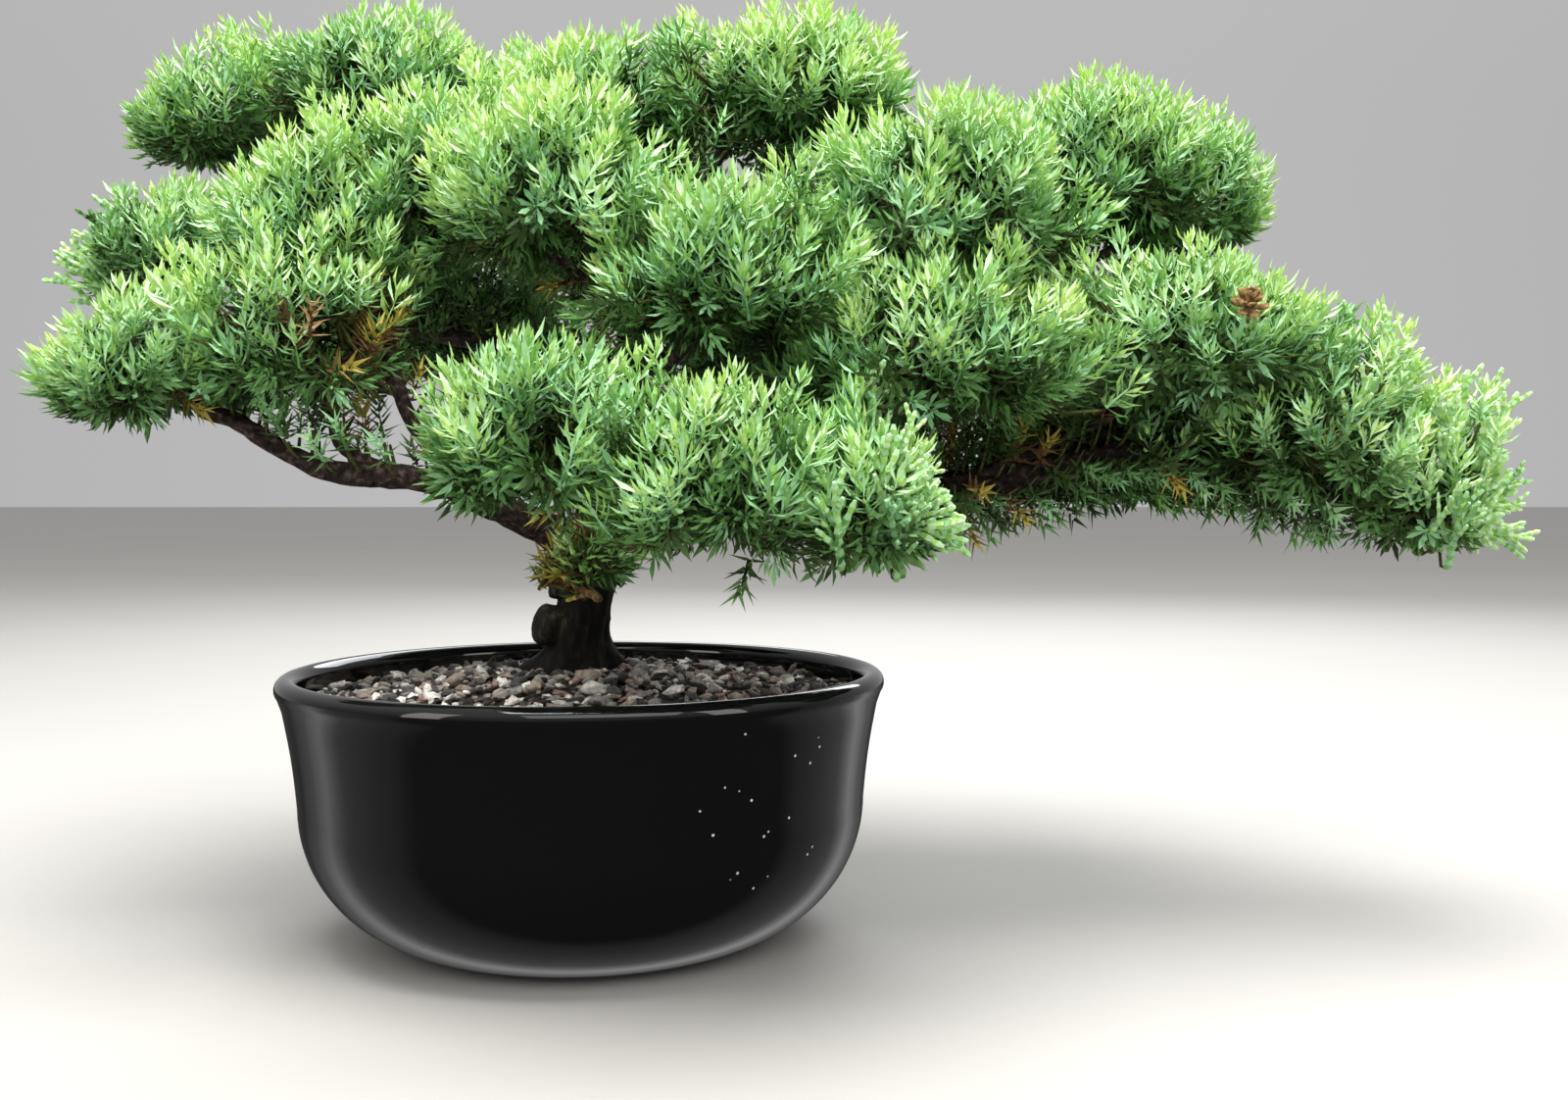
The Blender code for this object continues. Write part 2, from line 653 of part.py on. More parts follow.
    def build(self, parts, helpers, leaf):
        """Fuses the pad into one body."""
        foliage = link(object_from(f"foliage_{self.name}", self.core()), parts, leaf)
        link(object_from("stem", self.twig(self.foot, self.heart, self.stem_radius, TWIG_RADIUS, 5)), helpers)
        forks = [(self.foot.lerp(self.heart, share), TWIG_RADIUS * 1.5) for share in (0.55, 0.8, 1.0)]
        tufts = []
        for share, way in self.spray_places():
            for smaller in (1.0, 0.9, 0.8, 0.7):
                tip = self.pad.world(share * smaller**0.6)
                size = self.rng.uniform(0.9, 1.1) * smaller
                bm = self.spray(tip, way, size)
                if all(self.belongs(vert.co) for vert in bm.verts):
                    tufts.append((tip, way, size, bm))
                    break
                bm.free()
        tufts.sort(key=lambda tuft: (tuft[0] - self.heart).length)
        for index, (tip, way, size, bm) in enumerate(tufts):
            base = tip - way * SPRAY_LENGTH * size
            root = base.lerp(tip, SPRAY_SUNK)
            if self.pad.reach(base) > 0.8 * CORE_SHARE:
                start, radius = min(forks, key=lambda fork: (fork[0] - root).length + 0.4 * (fork[0] - self.heart).length)
                link(object_from(f"twig_{index}", self.twig(start, root, radius, TWIG_RADIUS * 0.7)), helpers)
                forks.append((start.lerp(root, 0.6), TWIG_RADIUS))
            link(object_from(f"spray_{index}", bm), helpers)
        joined(foliage, helpers, "UNION", "MANIFOLD")
        near = [name for name, limb in self.limbs.items() if any(self.pad.reach(point) < 1 for point in limb.points)]
        for name in near:
            link(fattened(name, self.limbs, 2 * CLEARANCE), helpers)
        if near:
            joined(foliage, helpers, "DIFFERENCE", "MANIFOLD")
        return foliage


def main():
    clear_scene()
    scene = bpy.context.scene
    parts = bpy.data.collections.new("juniper_bonsai")
    helpers = bpy.data.collections.new("cutters")
    scene.collection.children.link(parts)
    scene.collection.children.link(helpers)
    glaze = finish("black_glaze", (0.008, 0.008, 0.010), 0.08)
    earth = finish("gravel_soil", (0.12, 0.10, 0.085), 0.95)
    bark = finish("juniper_bark", (0.065, 0.042, 0.034), 0.9)
    leaf = finish("juniper_needles", (0.13, 0.27, 0.08), 0.55)

    make_bowl(parts, helpers, glaze)
    make_soil(parts, earth)
    limbs = grow_limbs(trunk_limb())
    make_trunk(limbs["trunk"], parts, helpers, bark)
    for name in limbs:
        if name != "trunk":
            make_bough(name, limbs, parts, helpers, bark)
    for name in PADS:
        Growth(name, limbs).build(parts, helpers, leaf)
    bpy.data.collections.remove(helpers)


main()
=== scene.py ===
"""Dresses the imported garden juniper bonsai: barked limbs, needled shoots, grit and a black glazed bowl.

Metres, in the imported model's frame: +Z up, -Y the front, the origin under the middle of the bowl.
"""

import json
import logging
import math
import random
from collections.abc import Callable, Iterator, Sequence
from dataclasses import dataclass, field
from enum import IntEnum

import bmesh
import bpy
import numpy as np
from bpy.types import Collection, Material, Node, NodeSocket, NodeTree, Object
from mathutils import Matrix, Vector, noise

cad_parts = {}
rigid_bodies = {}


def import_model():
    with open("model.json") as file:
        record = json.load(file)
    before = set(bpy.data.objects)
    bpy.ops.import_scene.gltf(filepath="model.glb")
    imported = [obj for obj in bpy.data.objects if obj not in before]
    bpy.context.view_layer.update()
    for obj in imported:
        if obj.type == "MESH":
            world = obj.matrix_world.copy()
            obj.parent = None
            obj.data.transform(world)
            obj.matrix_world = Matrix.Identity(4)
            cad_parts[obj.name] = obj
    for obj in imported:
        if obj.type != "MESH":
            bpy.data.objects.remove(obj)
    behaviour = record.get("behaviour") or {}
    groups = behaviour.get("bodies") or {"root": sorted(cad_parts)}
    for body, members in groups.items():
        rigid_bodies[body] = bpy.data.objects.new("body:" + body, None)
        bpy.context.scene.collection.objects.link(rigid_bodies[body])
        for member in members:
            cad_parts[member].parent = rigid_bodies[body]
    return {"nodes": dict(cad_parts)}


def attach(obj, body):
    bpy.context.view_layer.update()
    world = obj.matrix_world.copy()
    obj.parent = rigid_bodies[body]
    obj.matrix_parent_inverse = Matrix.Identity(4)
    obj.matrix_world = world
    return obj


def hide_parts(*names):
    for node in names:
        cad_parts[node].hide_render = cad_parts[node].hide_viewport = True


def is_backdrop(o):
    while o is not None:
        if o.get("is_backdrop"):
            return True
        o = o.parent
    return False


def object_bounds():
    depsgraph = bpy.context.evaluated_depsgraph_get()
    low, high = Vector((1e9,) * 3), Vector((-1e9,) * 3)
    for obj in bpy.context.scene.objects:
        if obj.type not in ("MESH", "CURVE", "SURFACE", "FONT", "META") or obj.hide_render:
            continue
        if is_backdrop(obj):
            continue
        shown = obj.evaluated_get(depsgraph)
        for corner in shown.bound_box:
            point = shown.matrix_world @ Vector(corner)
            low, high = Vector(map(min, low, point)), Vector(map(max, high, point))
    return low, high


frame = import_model()
CAD_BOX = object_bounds()
LOG = logging.getLogger("juniper")
BODY = "root"
MM = 0.001
GOLDEN_ANGLE = math.pi * (3 - math.sqrt(5))
UP = Vector((0, 0, 1))


def linear(red: int, green: int, blue: int) -> tuple[float, float, float]:
    """A screen colour, from 0 to 255, as the shader's linear one."""
    shares = (red / 255, green / 255, blue / 255)
    return tuple(c / 12.92 if c <= 0.04 else ((c + 0.055) / 1.055) ** 2.4 for c in shares)


def reckon(tree: NodeTree, operation: str, *values: NodeSocket | float) -> NodeSocket:
    """Adds a Math node.

    Args:
        tree: The node tree that it goes into.
        operation: What it works out.
        values: Its inputs in order, each a socket to join or a number to set.

    Returns:
        Its output.
    """
    node = tree.nodes.new("ShaderNodeMath")
    node.operation = operation
    for value, entry in zip(values, node.inputs):
        if isinstance(value, NodeSocket):
            tree.links.new(value, entry)
        else:
            entry.default_value = value
    return node.outputs[0]


def fill_ramp(node: Node, stops: Sequence[tuple[float, tuple]]) -> None:
    """Sets a Color Ramp node's stops.

    Args:
        node: The node.
        stops: Each stop's share and linear colour.
    """
    elements = node.color_ramp.elements
    while len(elements) < len(stops):
        elements.new(0.5)
    for element, (share, colour) in zip(elements, stops):
        element.position = share
        element.color = (*colour, 1.0)


def solid_of(name: str, bm: bmesh.types.BMesh, material: Material | None = None) -> Object:
    """Makes an object of an edit mesh, and frees that.

    Args:
        name: The object's and mesh's name.
        bm: The edit mesh.
        material: What its first slot holds, if anything.

    Returns:
        The object, not yet in the scene.
    """
    mesh = bpy.data.meshes.new(name)
    bm.to_mesh(mesh)
    bm.free()
    if material:
        mesh.materials.append(material)
    return bpy.data.objects.new(name, mesh)


def tube_faces(rings: int, sides: int) -> list[tuple[int, ...]]:
    """The faces of a closed tube: its wall, then its two ends.

    Args:
        rings: Rings of points along it.
        sides: Points in a ring.

    Returns:
        Each face by rows of points, anticlockwise from outside.
    """
    faces = []
    for ring in range(rings - 1):
        low, high = ring * sides, (ring + 1) * sides
        for side in range(sides):
            after = (side + 1) % sides
            faces.append((low + side, low + after, high + after, high + side))
    return [*faces, tuple(reversed(range(sides))), tuple(range((rings - 1) * sides, rings * sides))]


class Graph:
    """A material's node tree with short calls to add and join its nodes."""

    def __init__(self, name: str) -> None:
        """Starts from a fresh material that holds one Principled shader.

        Args:
            name: The material's name.
        """
        self.material = bpy.data.materials.new(name)
        self.material.use_nodes = True
        self.nodes = self.material.node_tree.nodes
        self.links = self.material.node_tree.links
        self.shader = self.nodes["Principled BSDF"]

    def add(self, kind: str, **settings: object) -> Node:
        """Adds a node.

        Args:
            kind: The node's type, without its ShaderNode prefix.
            settings: Properties of the node, or default values of its inputs by name with _ for a space.

        Returns:
            The new node.
        """
        node = self.nodes.new("ShaderNode" + kind)
        for key, value in settings.items():
            if hasattr(node, key):
                setattr(node, key, value)
            else:
                node.inputs[key.replace("_", " ")].default_value = value
        return node

    def join(self, source: NodeSocket, target: NodeSocket) -> None:
        """Joins two sockets."""
        self.links.new(source, target)

    def place(self, stretch: tuple[float, float, float] = (1, 1, 1)) -> NodeSocket:
        """The point in the object's own metres, stretched.

        Args:
            stretch: How much the pattern is squeezed along each axis.

        Returns:
            The point.
        """
        where = self.add("TexCoord")
        mapping = self.add("Mapping", Scale=stretch)
        self.join(where.outputs["Object"], mapping.inputs["Vector"])
        return mapping.outputs["Vector"]

    def noise(self, place: NodeSocket, scale: float, detail: float = 4.0) -> NodeSocket:
        """Cloudy values round 0.5.

        Args:
            place: The point.
            scale: How fine it is.
            detail: How many finer layers it has.

        Returns:
            The values.
        """
        made = self.add("TexNoise", Scale=scale, Detail=detail)
        self.join(place, made.inputs["Vector"])
        return made.outputs["Fac"]

    def ramp(self, value: NodeSocket, stops: Sequence[tuple[float, tuple]]) -> NodeSocket:
        """Colours by value.

        Args:
            value: What it goes by.
            stops: Each stop's share and linear colour.

        Returns:
            The colour.
        """
        made = self.add("ValToRGB")
        fill_ramp(made, stops)
        self.join(value, made.inputs["Fac"])
        return made.outputs["Color"]

    def bump(self, height: NodeSocket, strength: float, distance: float) -> None:
        """Adds relief to the shader's normal, over any that is there.

        Args:
            height: The relief, from 0 to 1.
            strength: How much of it shows.
            distance: How high 1 stands.
        """
        made = self.add("Bump", Strength=strength, Distance=distance)
        self.join(height, made.inputs["Height"])
        normal = self.shader.inputs["Normal"]
        if normal.is_linked:
            self.join(normal.links[0].from_socket, made.inputs["Normal"])
        self.join(made.outputs["Normal"], normal)

    def set(self, **values: object) -> None:
        """Sets the shader's own sockets."""
        for key, value in values.items():
            self.shader.inputs[key.replace("_", " ")].default_value = value


@dataclass(frozen=True)
class NeedleFinish:
    """One waxy green or brown of the needles, plain so that it can be dealt out by shoot."""

    name: str
    colour: tuple[int, int, int]
    roughness: float = 0.48

    def build(self) -> Material:
        """Makes its nodes.

        Returns:
            The material.
        """
        graph = Graph(self.name)
        graph.set(Base_Color=(*linear(*self.colour), 1.0), Roughness=self.roughness, Specular_IOR_Level=0.28)
        return graph.material


@dataclass(frozen=True)
class GlazeFinish:
    """Black glaze: deep gloss over a faint ripple, with dried water specks on the front right."""

    black: tuple[int, int, int] = (15, 15, 16)
    speck: tuple[int, int, int] = (196, 194, 188)
    speck_scale: float = 260.0
    speck_size: float = 0.085
    speck_patch: tuple[float, float, float] = (0.044, -0.050, 0.043)
    patch_radius: float = 0.021
    roughness: float = 0.05

    def build(self) -> Material:
        """Makes its nodes.

        Returns:
            The material.
        """
        graph = Graph("black_glaze_gloss")
        graph.set(Roughness=self.roughness, Specular_IOR_Level=0.42)
        place = graph.place()
        cells = graph.add("TexVoronoi", Scale=self.speck_scale, Randomness=1.0)
        graph.join(place, cells.inputs["Vector"])
        away = graph.add("VectorMath", operation="DISTANCE")
        graph.join(place, away.inputs[0])
        away.inputs[1].default_value = self.speck_patch
        tree = graph.material.node_tree
        near = reckon(tree, "LESS_THAN", cells.outputs["Distance"], self.speck_size)
        patch = reckon(tree, "LESS_THAN", away.outputs["Value"], self.patch_radius)
        dry = reckon(tree, "MULTIPLY", near, patch)
        stops = ((0.0, linear(*self.black)), (1.0, linear(*self.speck)))
        graph.join(graph.ramp(dry, stops), graph.shader.inputs["Base Color"])
        graph.bump(graph.noise(place, 26.0, 2.0), 0.10, 0.0016)
        return graph.material


@dataclass(frozen=True)
class BarkFinish:
    """Dark juniper bark: stringy brown-black strips with worn purple-brown and grey flakes."""

    name: str
    # The defaults are the trunk's: its own dark bark, darkened further as painted shade from the crown above.
    deep: tuple[int, int, int] = (7, 6, 6)
    middle: tuple[int, int, int] = (16, 14, 13)
    flake: tuple[int, int, int] = (40, 35, 32)
    stretch: tuple[float, float, float] = (1.0, 1.0, 0.28)

    def build(self) -> Material:
        """Makes its nodes.

        Returns:
            The material.
        """
        graph = Graph(self.name)
        graph.set(Roughness=0.88, Specular_IOR_Level=0.25)
        strips = graph.place(self.stretch)
        fibre = graph.noise(strips, 620.0, 6.0)
        stops = ((0.30, linear(*self.deep)), (0.52, linear(*self.middle)), (0.74, linear(*self.flake)))
        graph.join(graph.ramp(fibre, stops), graph.shader.inputs["Base Color"])
        graph.bump(graph.noise(strips, 260.0, 5.0), 0.8, 0.0011)
        graph.bump(fibre, 0.7, 0.0005)
        return graph.material


@dataclass(frozen=True)
class GritFinish:
    """One kind of stone in the grit, speckled and matt."""

    name: str
    colour: tuple[int, int, int]
    dark: float = 0.62

    def build(self) -> Material:
        """Makes its nodes.

        Returns:
            The material.
        """
        graph = Graph(self.name)
        graph.set(Roughness=0.82, Specular_IOR_Level=0.3)
        place = graph.place()
        light = linear(*self.colour)
        shaded = tuple(c * self.dark for c in light)
        bright = tuple(min(1.0, c * 1.3) for c in light)
        mottle = graph.noise(place, 900.0, 5.0)
        colour = graph.ramp(mottle, ((0.34, shaded), (0.5, light), (0.68, bright)))
        graph.join(colour, graph.shader.inputs["Base Color"])
        graph.bump(mottle, 0.5, 0.0004)
        return graph.material


@dataclass(frozen=True)
class EarthFinish:
    """Damp dark earth between the stones."""

    def build(self) -> Material:
        """Makes its nodes.

        Returns:
            The material.
        """
        graph = Graph("damp_earth")
        graph.set(Roughness=0.95, Specular_IOR_Level=0.2)
        place = graph.place()
        crumbs = graph.noise(place, 480.0, 6.0)
        stops = ((0.35, linear(20, 17, 15)), (0.55, linear(46, 40, 35)), (0.72, linear(84, 74, 65)))
        graph.join(graph.ramp(crumbs, stops), graph.shader.inputs["Base Color"])
        graph.bump(crumbs, 1.0, 0.0018)
        return graph.material


@dataclass(frozen=True)
class FloorFinish:
    """The pale studio floor."""

    colour: tuple[int, int, int] = (172, 170, 167)

    def build(self) -> Material:
        """Makes its nodes.

        Returns:
            The material.
        """
        graph = Graph("studio_floor")
        graph.set(Roughness=0.75, Specular_IOR_Level=0.25)
        pale = linear(*self.colour)
        cloud = graph.noise(graph.place(), 3.0, 2.0)
        stops = ((0.3, tuple(c * 0.97 for c in pale)), (0.7, pale))
        graph.join(graph.ramp(cloud, stops), graph.shader.inputs["Base Color"])
        return graph.material


class MeshBuffer:
    """Gathers shells as arrays and makes one mesh of them, with whole numbers marked on its faces."""

    def __init__(self) -> None:
        """Starts empty."""
        self.points: list[np.ndarray] = []
        self.faces: list[tuple[int, ...]] = []
        self.slots: list[int] = []
        self.marks: dict[str, list[int]] = {}
        self.count = 0

    def add(
        self, points: np.ndarray, faces: Sequence[Sequence[int]], slot: int = 0,
        marks: dict[str, Sequence[int]] | None = None,
    ) -> None:
        """Adds one shell.

        Args:
            points: Its points, one row each.
            faces: Its faces, by rows of points, anticlockwise from outside.
            slot: The material slot of all its faces.
            marks: Whole numbers for each face, by attribute name.
        """
        self.faces += [tuple(index + self.count for index in face) for face in faces]
        self.points.append(np.asarray(points, float))
        self.slots += [slot] * len(faces)
        for name, values in (marks or {}).items():
            self.marks.setdefault(name, []).extend(values)
        self.count += len(points)

    def build(self, name: str, materials: Sequence[Material], smooth: bool = False) -> Object:
        """Makes the object, not yet in the scene.

        Args:
            name: The object's and mesh's name.
            materials: What its slots hold.
            smooth: Whether faces are shaded smooth.

        Returns:
            The object.
        """
        mesh = bpy.data.meshes.new(name)
        mesh.from_pydata(np.concatenate(self.points).tolist(), [], self.faces)
        for material in materials:
            mesh.materials.append(material)
        mesh.polygons.foreach_set("material_index", self.slots)
        mesh.polygons.foreach_set("use_smooth", [smooth] * len(self.faces))
        for key, values in self.marks.items():
            mesh.attributes.new(key, "INT", "FACE").data.foreach_set("value", values)
        mesh.update()
        return bpy.data.objects.new(name, mesh)


def loft(path: Sequence[Vector], radii: Sequence[float], sides: int, relief: Callable | None = None) -> tuple:
    """A closed tube along a path whose rings don't twist.

    Args:
        path: The middle of each ring.
        radii: The radius of each ring.
        sides: Points in a ring.
        relief: Gives how far a point is pushed out, from its place, angle and length along the path.

    Returns:
        Its points and its faces.
    """
    points: list[Vector] = []
    across = None
    reached = 0.0
    for index, (middle, radius) in enumerate(zip(path, radii)):
        way = (path[min(index + 1, len(path) - 1)] - path[max(index - 1, 0)]).normalized()
        if across is None:
            across = way.orthogonal().normalized()
        across = (across - way * across.dot(way)).normalized()
        other = way.cross(across)
        if index:
            reached += (middle - path[index - 1]).length
        for side in range(sides):
            angle = math.tau * side / sides
            out = across * math.cos(angle) + other * math.sin(angle)
            push = relief(middle + out * radius, angle, reached) if relief else 0.0
            points.append(middle + out * (radius + push))
    return np.array([tuple(point) for point in points]), tube_faces(len(path), sides)


def show(piece: Object, slot: str, *nodes: str) -> None:
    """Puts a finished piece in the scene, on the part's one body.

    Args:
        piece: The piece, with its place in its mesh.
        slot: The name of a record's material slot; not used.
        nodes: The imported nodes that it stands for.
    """
    if piece.name not in bpy.context.scene.collection.objects:
        bpy.context.scene.collection.objects.link(piece)
    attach(piece, BODY)
    if nodes:
        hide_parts(*nodes)
    LOG.info("%s: %d faces", piece.name, len(piece.data.polygons))


@dataclass
class Scatter:
    """Geometry Nodes that set small shapes on marked points and give each face its finish.

    Each point is marked with turn, size, kind and tint. Each face of a shape is marked with age and side.
    A face takes finish number 2 * (tint + age) + side.
    """

    name: str
    shapes: Collection
    finishes: Sequence[Material]
    size: float = 1.0
    vary: float = 0.08
    seed: int = 7

    def tree(self) -> NodeTree:
        """Builds the node tree, with named inputs for the shapes, their size, its spread and the seed.

        Returns:
            The tree.
        """
        tree = bpy.data.node_groups.new(self.name, "GeometryNodeTree")
        sockets = (
            ("Points", "NodeSocketGeometry"), ("Shapes", "NodeSocketCollection"), ("Size", "NodeSocketFloat"),
            ("Vary", "NodeSocketFloat"), ("Seed", "NodeSocketInt"),
        )
        for label, kind in sockets:
            tree.interface.new_socket(name=label, in_out="INPUT", socket_type=kind)
        tree.interface.new_socket(name="Mesh", in_out="OUTPUT", socket_type="NodeSocketGeometry")
        add, join = tree.nodes.new, tree.links.new
        given = add("NodeGroupInput")
        shapes = add("GeometryNodeCollectionInfo")
        shapes.inputs["Separate Children"].default_value = True
        shapes.inputs["Reset Children"].default_value = True
        join(given.outputs["Shapes"], shapes.inputs["Collection"])
        euler = add("FunctionNodeEulerToRotation")
        join(self.mark(tree, "turn", "FLOAT_VECTOR"), euler.inputs[0])
        chance = add("FunctionNodeRandomValue")
        chance.data_type = "FLOAT"
        least, most = chance.inputs[2], chance.inputs[3]
        join(reckon(tree, "SUBTRACT", 1.0, given.outputs["Vary"]), least)
        join(reckon(tree, "ADD", 1.0, given.outputs["Vary"]), most)
        join(given.outputs["Seed"], chance.inputs["Seed"])
        whole = reckon(tree, "MULTIPLY", given.outputs["Size"], self.mark(tree, "size", "FLOAT"))
        grown = reckon(tree, "MULTIPLY", whole, chance.outputs[1])
        stand = add("GeometryNodeInstanceOnPoints")
        stand.inputs["Pick Instance"].default_value = True
        join(given.outputs["Points"], stand.inputs["Points"])
        join(shapes.outputs["Instances"], stand.inputs["Instance"])
        join(self.mark(tree, "kind", "INT"), stand.inputs["Instance Index"])
        join(euler.outputs[0], stand.inputs["Rotation"])
        join(grown, stand.inputs["Scale"])
        real = add("GeometryNodeRealizeInstances")
        join(stand.outputs["Instances"], real.inputs[0])
        older = reckon(tree, "ADD", self.mark(tree, "tint", "INT"), self.mark(tree, "age", "INT"))
        number = reckon(tree, "ADD", reckon(tree, "MULTIPLY", older, 2.0), self.mark(tree, "side", "INT"))
        mesh = real.outputs[0]
        for index, finish in enumerate(self.finishes):
            same = add("FunctionNodeCompare")
            same.data_type, same.operation = "FLOAT", "EQUAL"
            same.inputs["Epsilon"].default_value = 0.25
            same.inputs["B"].default_value = float(index)
            join(number, same.inputs["A"])
            dress = add("GeometryNodeSetMaterial")
            dress.inputs["Material"].default_value = finish
            join(same.outputs[0], dress.inputs["Selection"])
            join(mesh, dress.inputs["Geometry"])
            mesh = dress.outputs["Geometry"]
        join(mesh, add("NodeGroupOutput").inputs["Mesh"])
        return tree

    @staticmethod
    def mark(tree: NodeTree, name: str, kind: str) -> NodeSocket:
        """Reads a named attribute.

        Args:
            tree: The node tree.
            name: The attribute's name.
            kind: Its data type.

        Returns:
            Its values.
        """
        node = tree.nodes.new("GeometryNodeInputNamedAttribute")
        node.data_type = kind
        node.inputs["Name"].default_value = name
        return next(socket for socket in node.outputs if socket.enabled)

    def run(self, name: str, points: "Marks", tree: NodeTree) -> Object:
        """Sets the shapes on the points.

        Args:
            name: The finished object's name.
            points: Where they go.
            tree: The node tree, from tree().

        Returns:
            An object with a plain mesh and no modifier.
        """
        carrier = points.carrier()
        bpy.context.scene.collection.objects.link(carrier)
        modifier = carrier.modifiers.new("scatter", "NODES")
        modifier.node_group = tree
        given = {"Shapes": self.shapes, "Size": self.size, "Vary": self.vary, "Seed": self.seed}
        for socket in tree.interface.items_tree:
            if socket.in_out == "INPUT" and socket.name in given:
                modifier[socket.identifier] = given[socket.name]
        bpy.context.view_layer.update()
        graph = bpy.context.evaluated_depsgraph_get()
        mesh = bpy.data.meshes.new_from_object(carrier.evaluated_get(graph))
        carrier.modifiers.clear()
        bpy.data.objects.remove(carrier, do_unlink=True)
        for key in ("turn", "size", "kind", "tint", "age", "side"):
            if key in mesh.attributes:
                mesh.attributes.remove(mesh.attributes[key])
        mesh.name = name
        return bpy.data.objects.new(name, mesh)


@dataclass
class Marks:
    """Points with what Scatter reads on them."""

    places: list[Vector] = field(default_factory=list)
    turns: list[tuple[float, float, float]] = field(default_factory=list)
    sizes: list[float] = field(default_factory=list)
    kinds: list[int] = field(default_factory=list)
    tints: list[int] = field(default_factory=list)

    def add(self, place: Vector, way: Vector, twist: float, size: float, kind: int, tint: int) -> None:
        """Marks one point.

        Args:
            place: Where the shape's foot goes.
            way: Where its own +Z points.
            twist: Its turn about that, in radians.
            size: Its scale.
            kind: Which shape it is.
            tint: Which finish it starts from.
        """
        turn = way.to_track_quat("Z", "Y").to_matrix() @ Matrix.Rotation(twist, 3, "Z")
        self.places.append(place)
        self.turns.append(tuple(turn.to_euler("XYZ")))
        self.sizes.append(size)
        self.kinds.append(kind)
        self.tints.append(tint)

    def carrier(self) -> Object:
        """The points as a mesh with attributes.

        Returns:
            The object, not yet in the scene.
        """
        mesh = bpy.data.meshes.new("marks")
        mesh.from_pydata([tuple(place) for place in self.places], [], [])
        mesh.attributes.new("turn", "FLOAT_VECTOR", "POINT").data.foreach_set("vector", np.ravel(self.turns))
        rows = (("size", "FLOAT", self.sizes), ("kind", "INT", self.kinds), ("tint", "INT", self.tints))
        for key, kind, values in rows:
            mesh.attributes.new(key, kind, "POINT").data.foreach_set("value", values)
        return bpy.data.objects.new("marks", mesh)


@dataclass(frozen=True)
class Bough:
    """One tapering limb, from its parent's surface to a pad of foliage, as in the part's source.

    Past the share leafy of its length it carries side shoots. skirt is the share of those below it that it
    keeps, and lush how many times as many as usual it has.
    """

    parent: str
    along: float
    via: tuple = ()
    stout: float = 1.0
    leafy: float = 0.30
    skirt: float = 0.35
    lush: float = 1.0


@dataclass(frozen=True)
class Pad:
    """One mass of foliage: a dome with a shallower underside, which keeps to its own space.

    centre, half, bough and dip are the part's own. fresh is the share of young yellow-green shoots, and is
    raised as painted light on the pads that stand in brighter light, cords the share of scaly, cord-like
    shoots, hang how far its shoots give up reaching for the light, bare the share of shoots that its
    underside lacks, and point how far it narrows to its outer tip.
    """

    centre: tuple
    half: tuple
    bough: Bough | None
    dip: float = 0.0
    # Painted light: besides young growth, this share is raised on pads in brighter light, so they take paler
    # tints.
    fresh_and_lit: float = 0.35
    cords: float = 0.0
    hang: float = 0.0
    bare: float = 0.25
    point: float = 0.0

    def local(self, point: Vector) -> Vector:
        """Turns a point into the pad's own measure.

        Args:
            point: A point in the scene.

        Returns:
            The point in the pad's own axes, as shares of its half sizes.
        """
        x, y, z = Matrix.Rotation(-math.radians(self.dip), 3, "Y") @ (Vector(point) - Vector(self.centre))
        rise = self.half[2] * (1.0 if z > 0 else UNDER_SHARE)
        return Vector((x / self.half[0], y / self.half[1], z / rise))

    def world(self, share: Vector) -> Vector:
        """The inverse of local.

        Args:
            share: A point as shares of the pad's half sizes.

        Returns:
            The point in the scene.
        """
        rise = self.half[2] * (1.0 if share.z > 0 else UNDER_SHARE)
        own = Vector((share.x * self.half[0], share.y * self.half[1], share.z * rise))
        return Vector(self.centre) + Matrix.Rotation(math.radians(self.dip), 3, "Y") @ own

    def reach(self, point: Vector) -> float:
        """0 at the middle, 1 on the surface."""
        return self.local(point).length

    @property
    def outward(self) -> float:
        """Which way along X leads away from the trunk."""
        return math.copysign(1, self.centre[0])

    def narrowing(self, direction: Vector) -> float:
        """How much nearer to its middle the pad ends this way, where it narrows to its outer tip."""
        out = max(0.0, direction.x * self.outward)
        return 1 - self.point * out * math.sqrt(1 - out * out) * (1.3 if direction.z < 0 else 0.8)

    @property
    def mean_half(self) -> float:
        """Its middling half size."""
        return sum(self.half) / 3

    @property
    def skin(self) -> float:
        """About the area of its surface.

        Returns:
            The area.
        """
        a, b, c = self.half
        mixed = ((a * b) ** 1.6 + (a * c * 0.8) ** 1.6 + (b * c * 0.8) ** 1.6) / 3
        return 4 * math.pi * mixed ** (1 / 1.6)


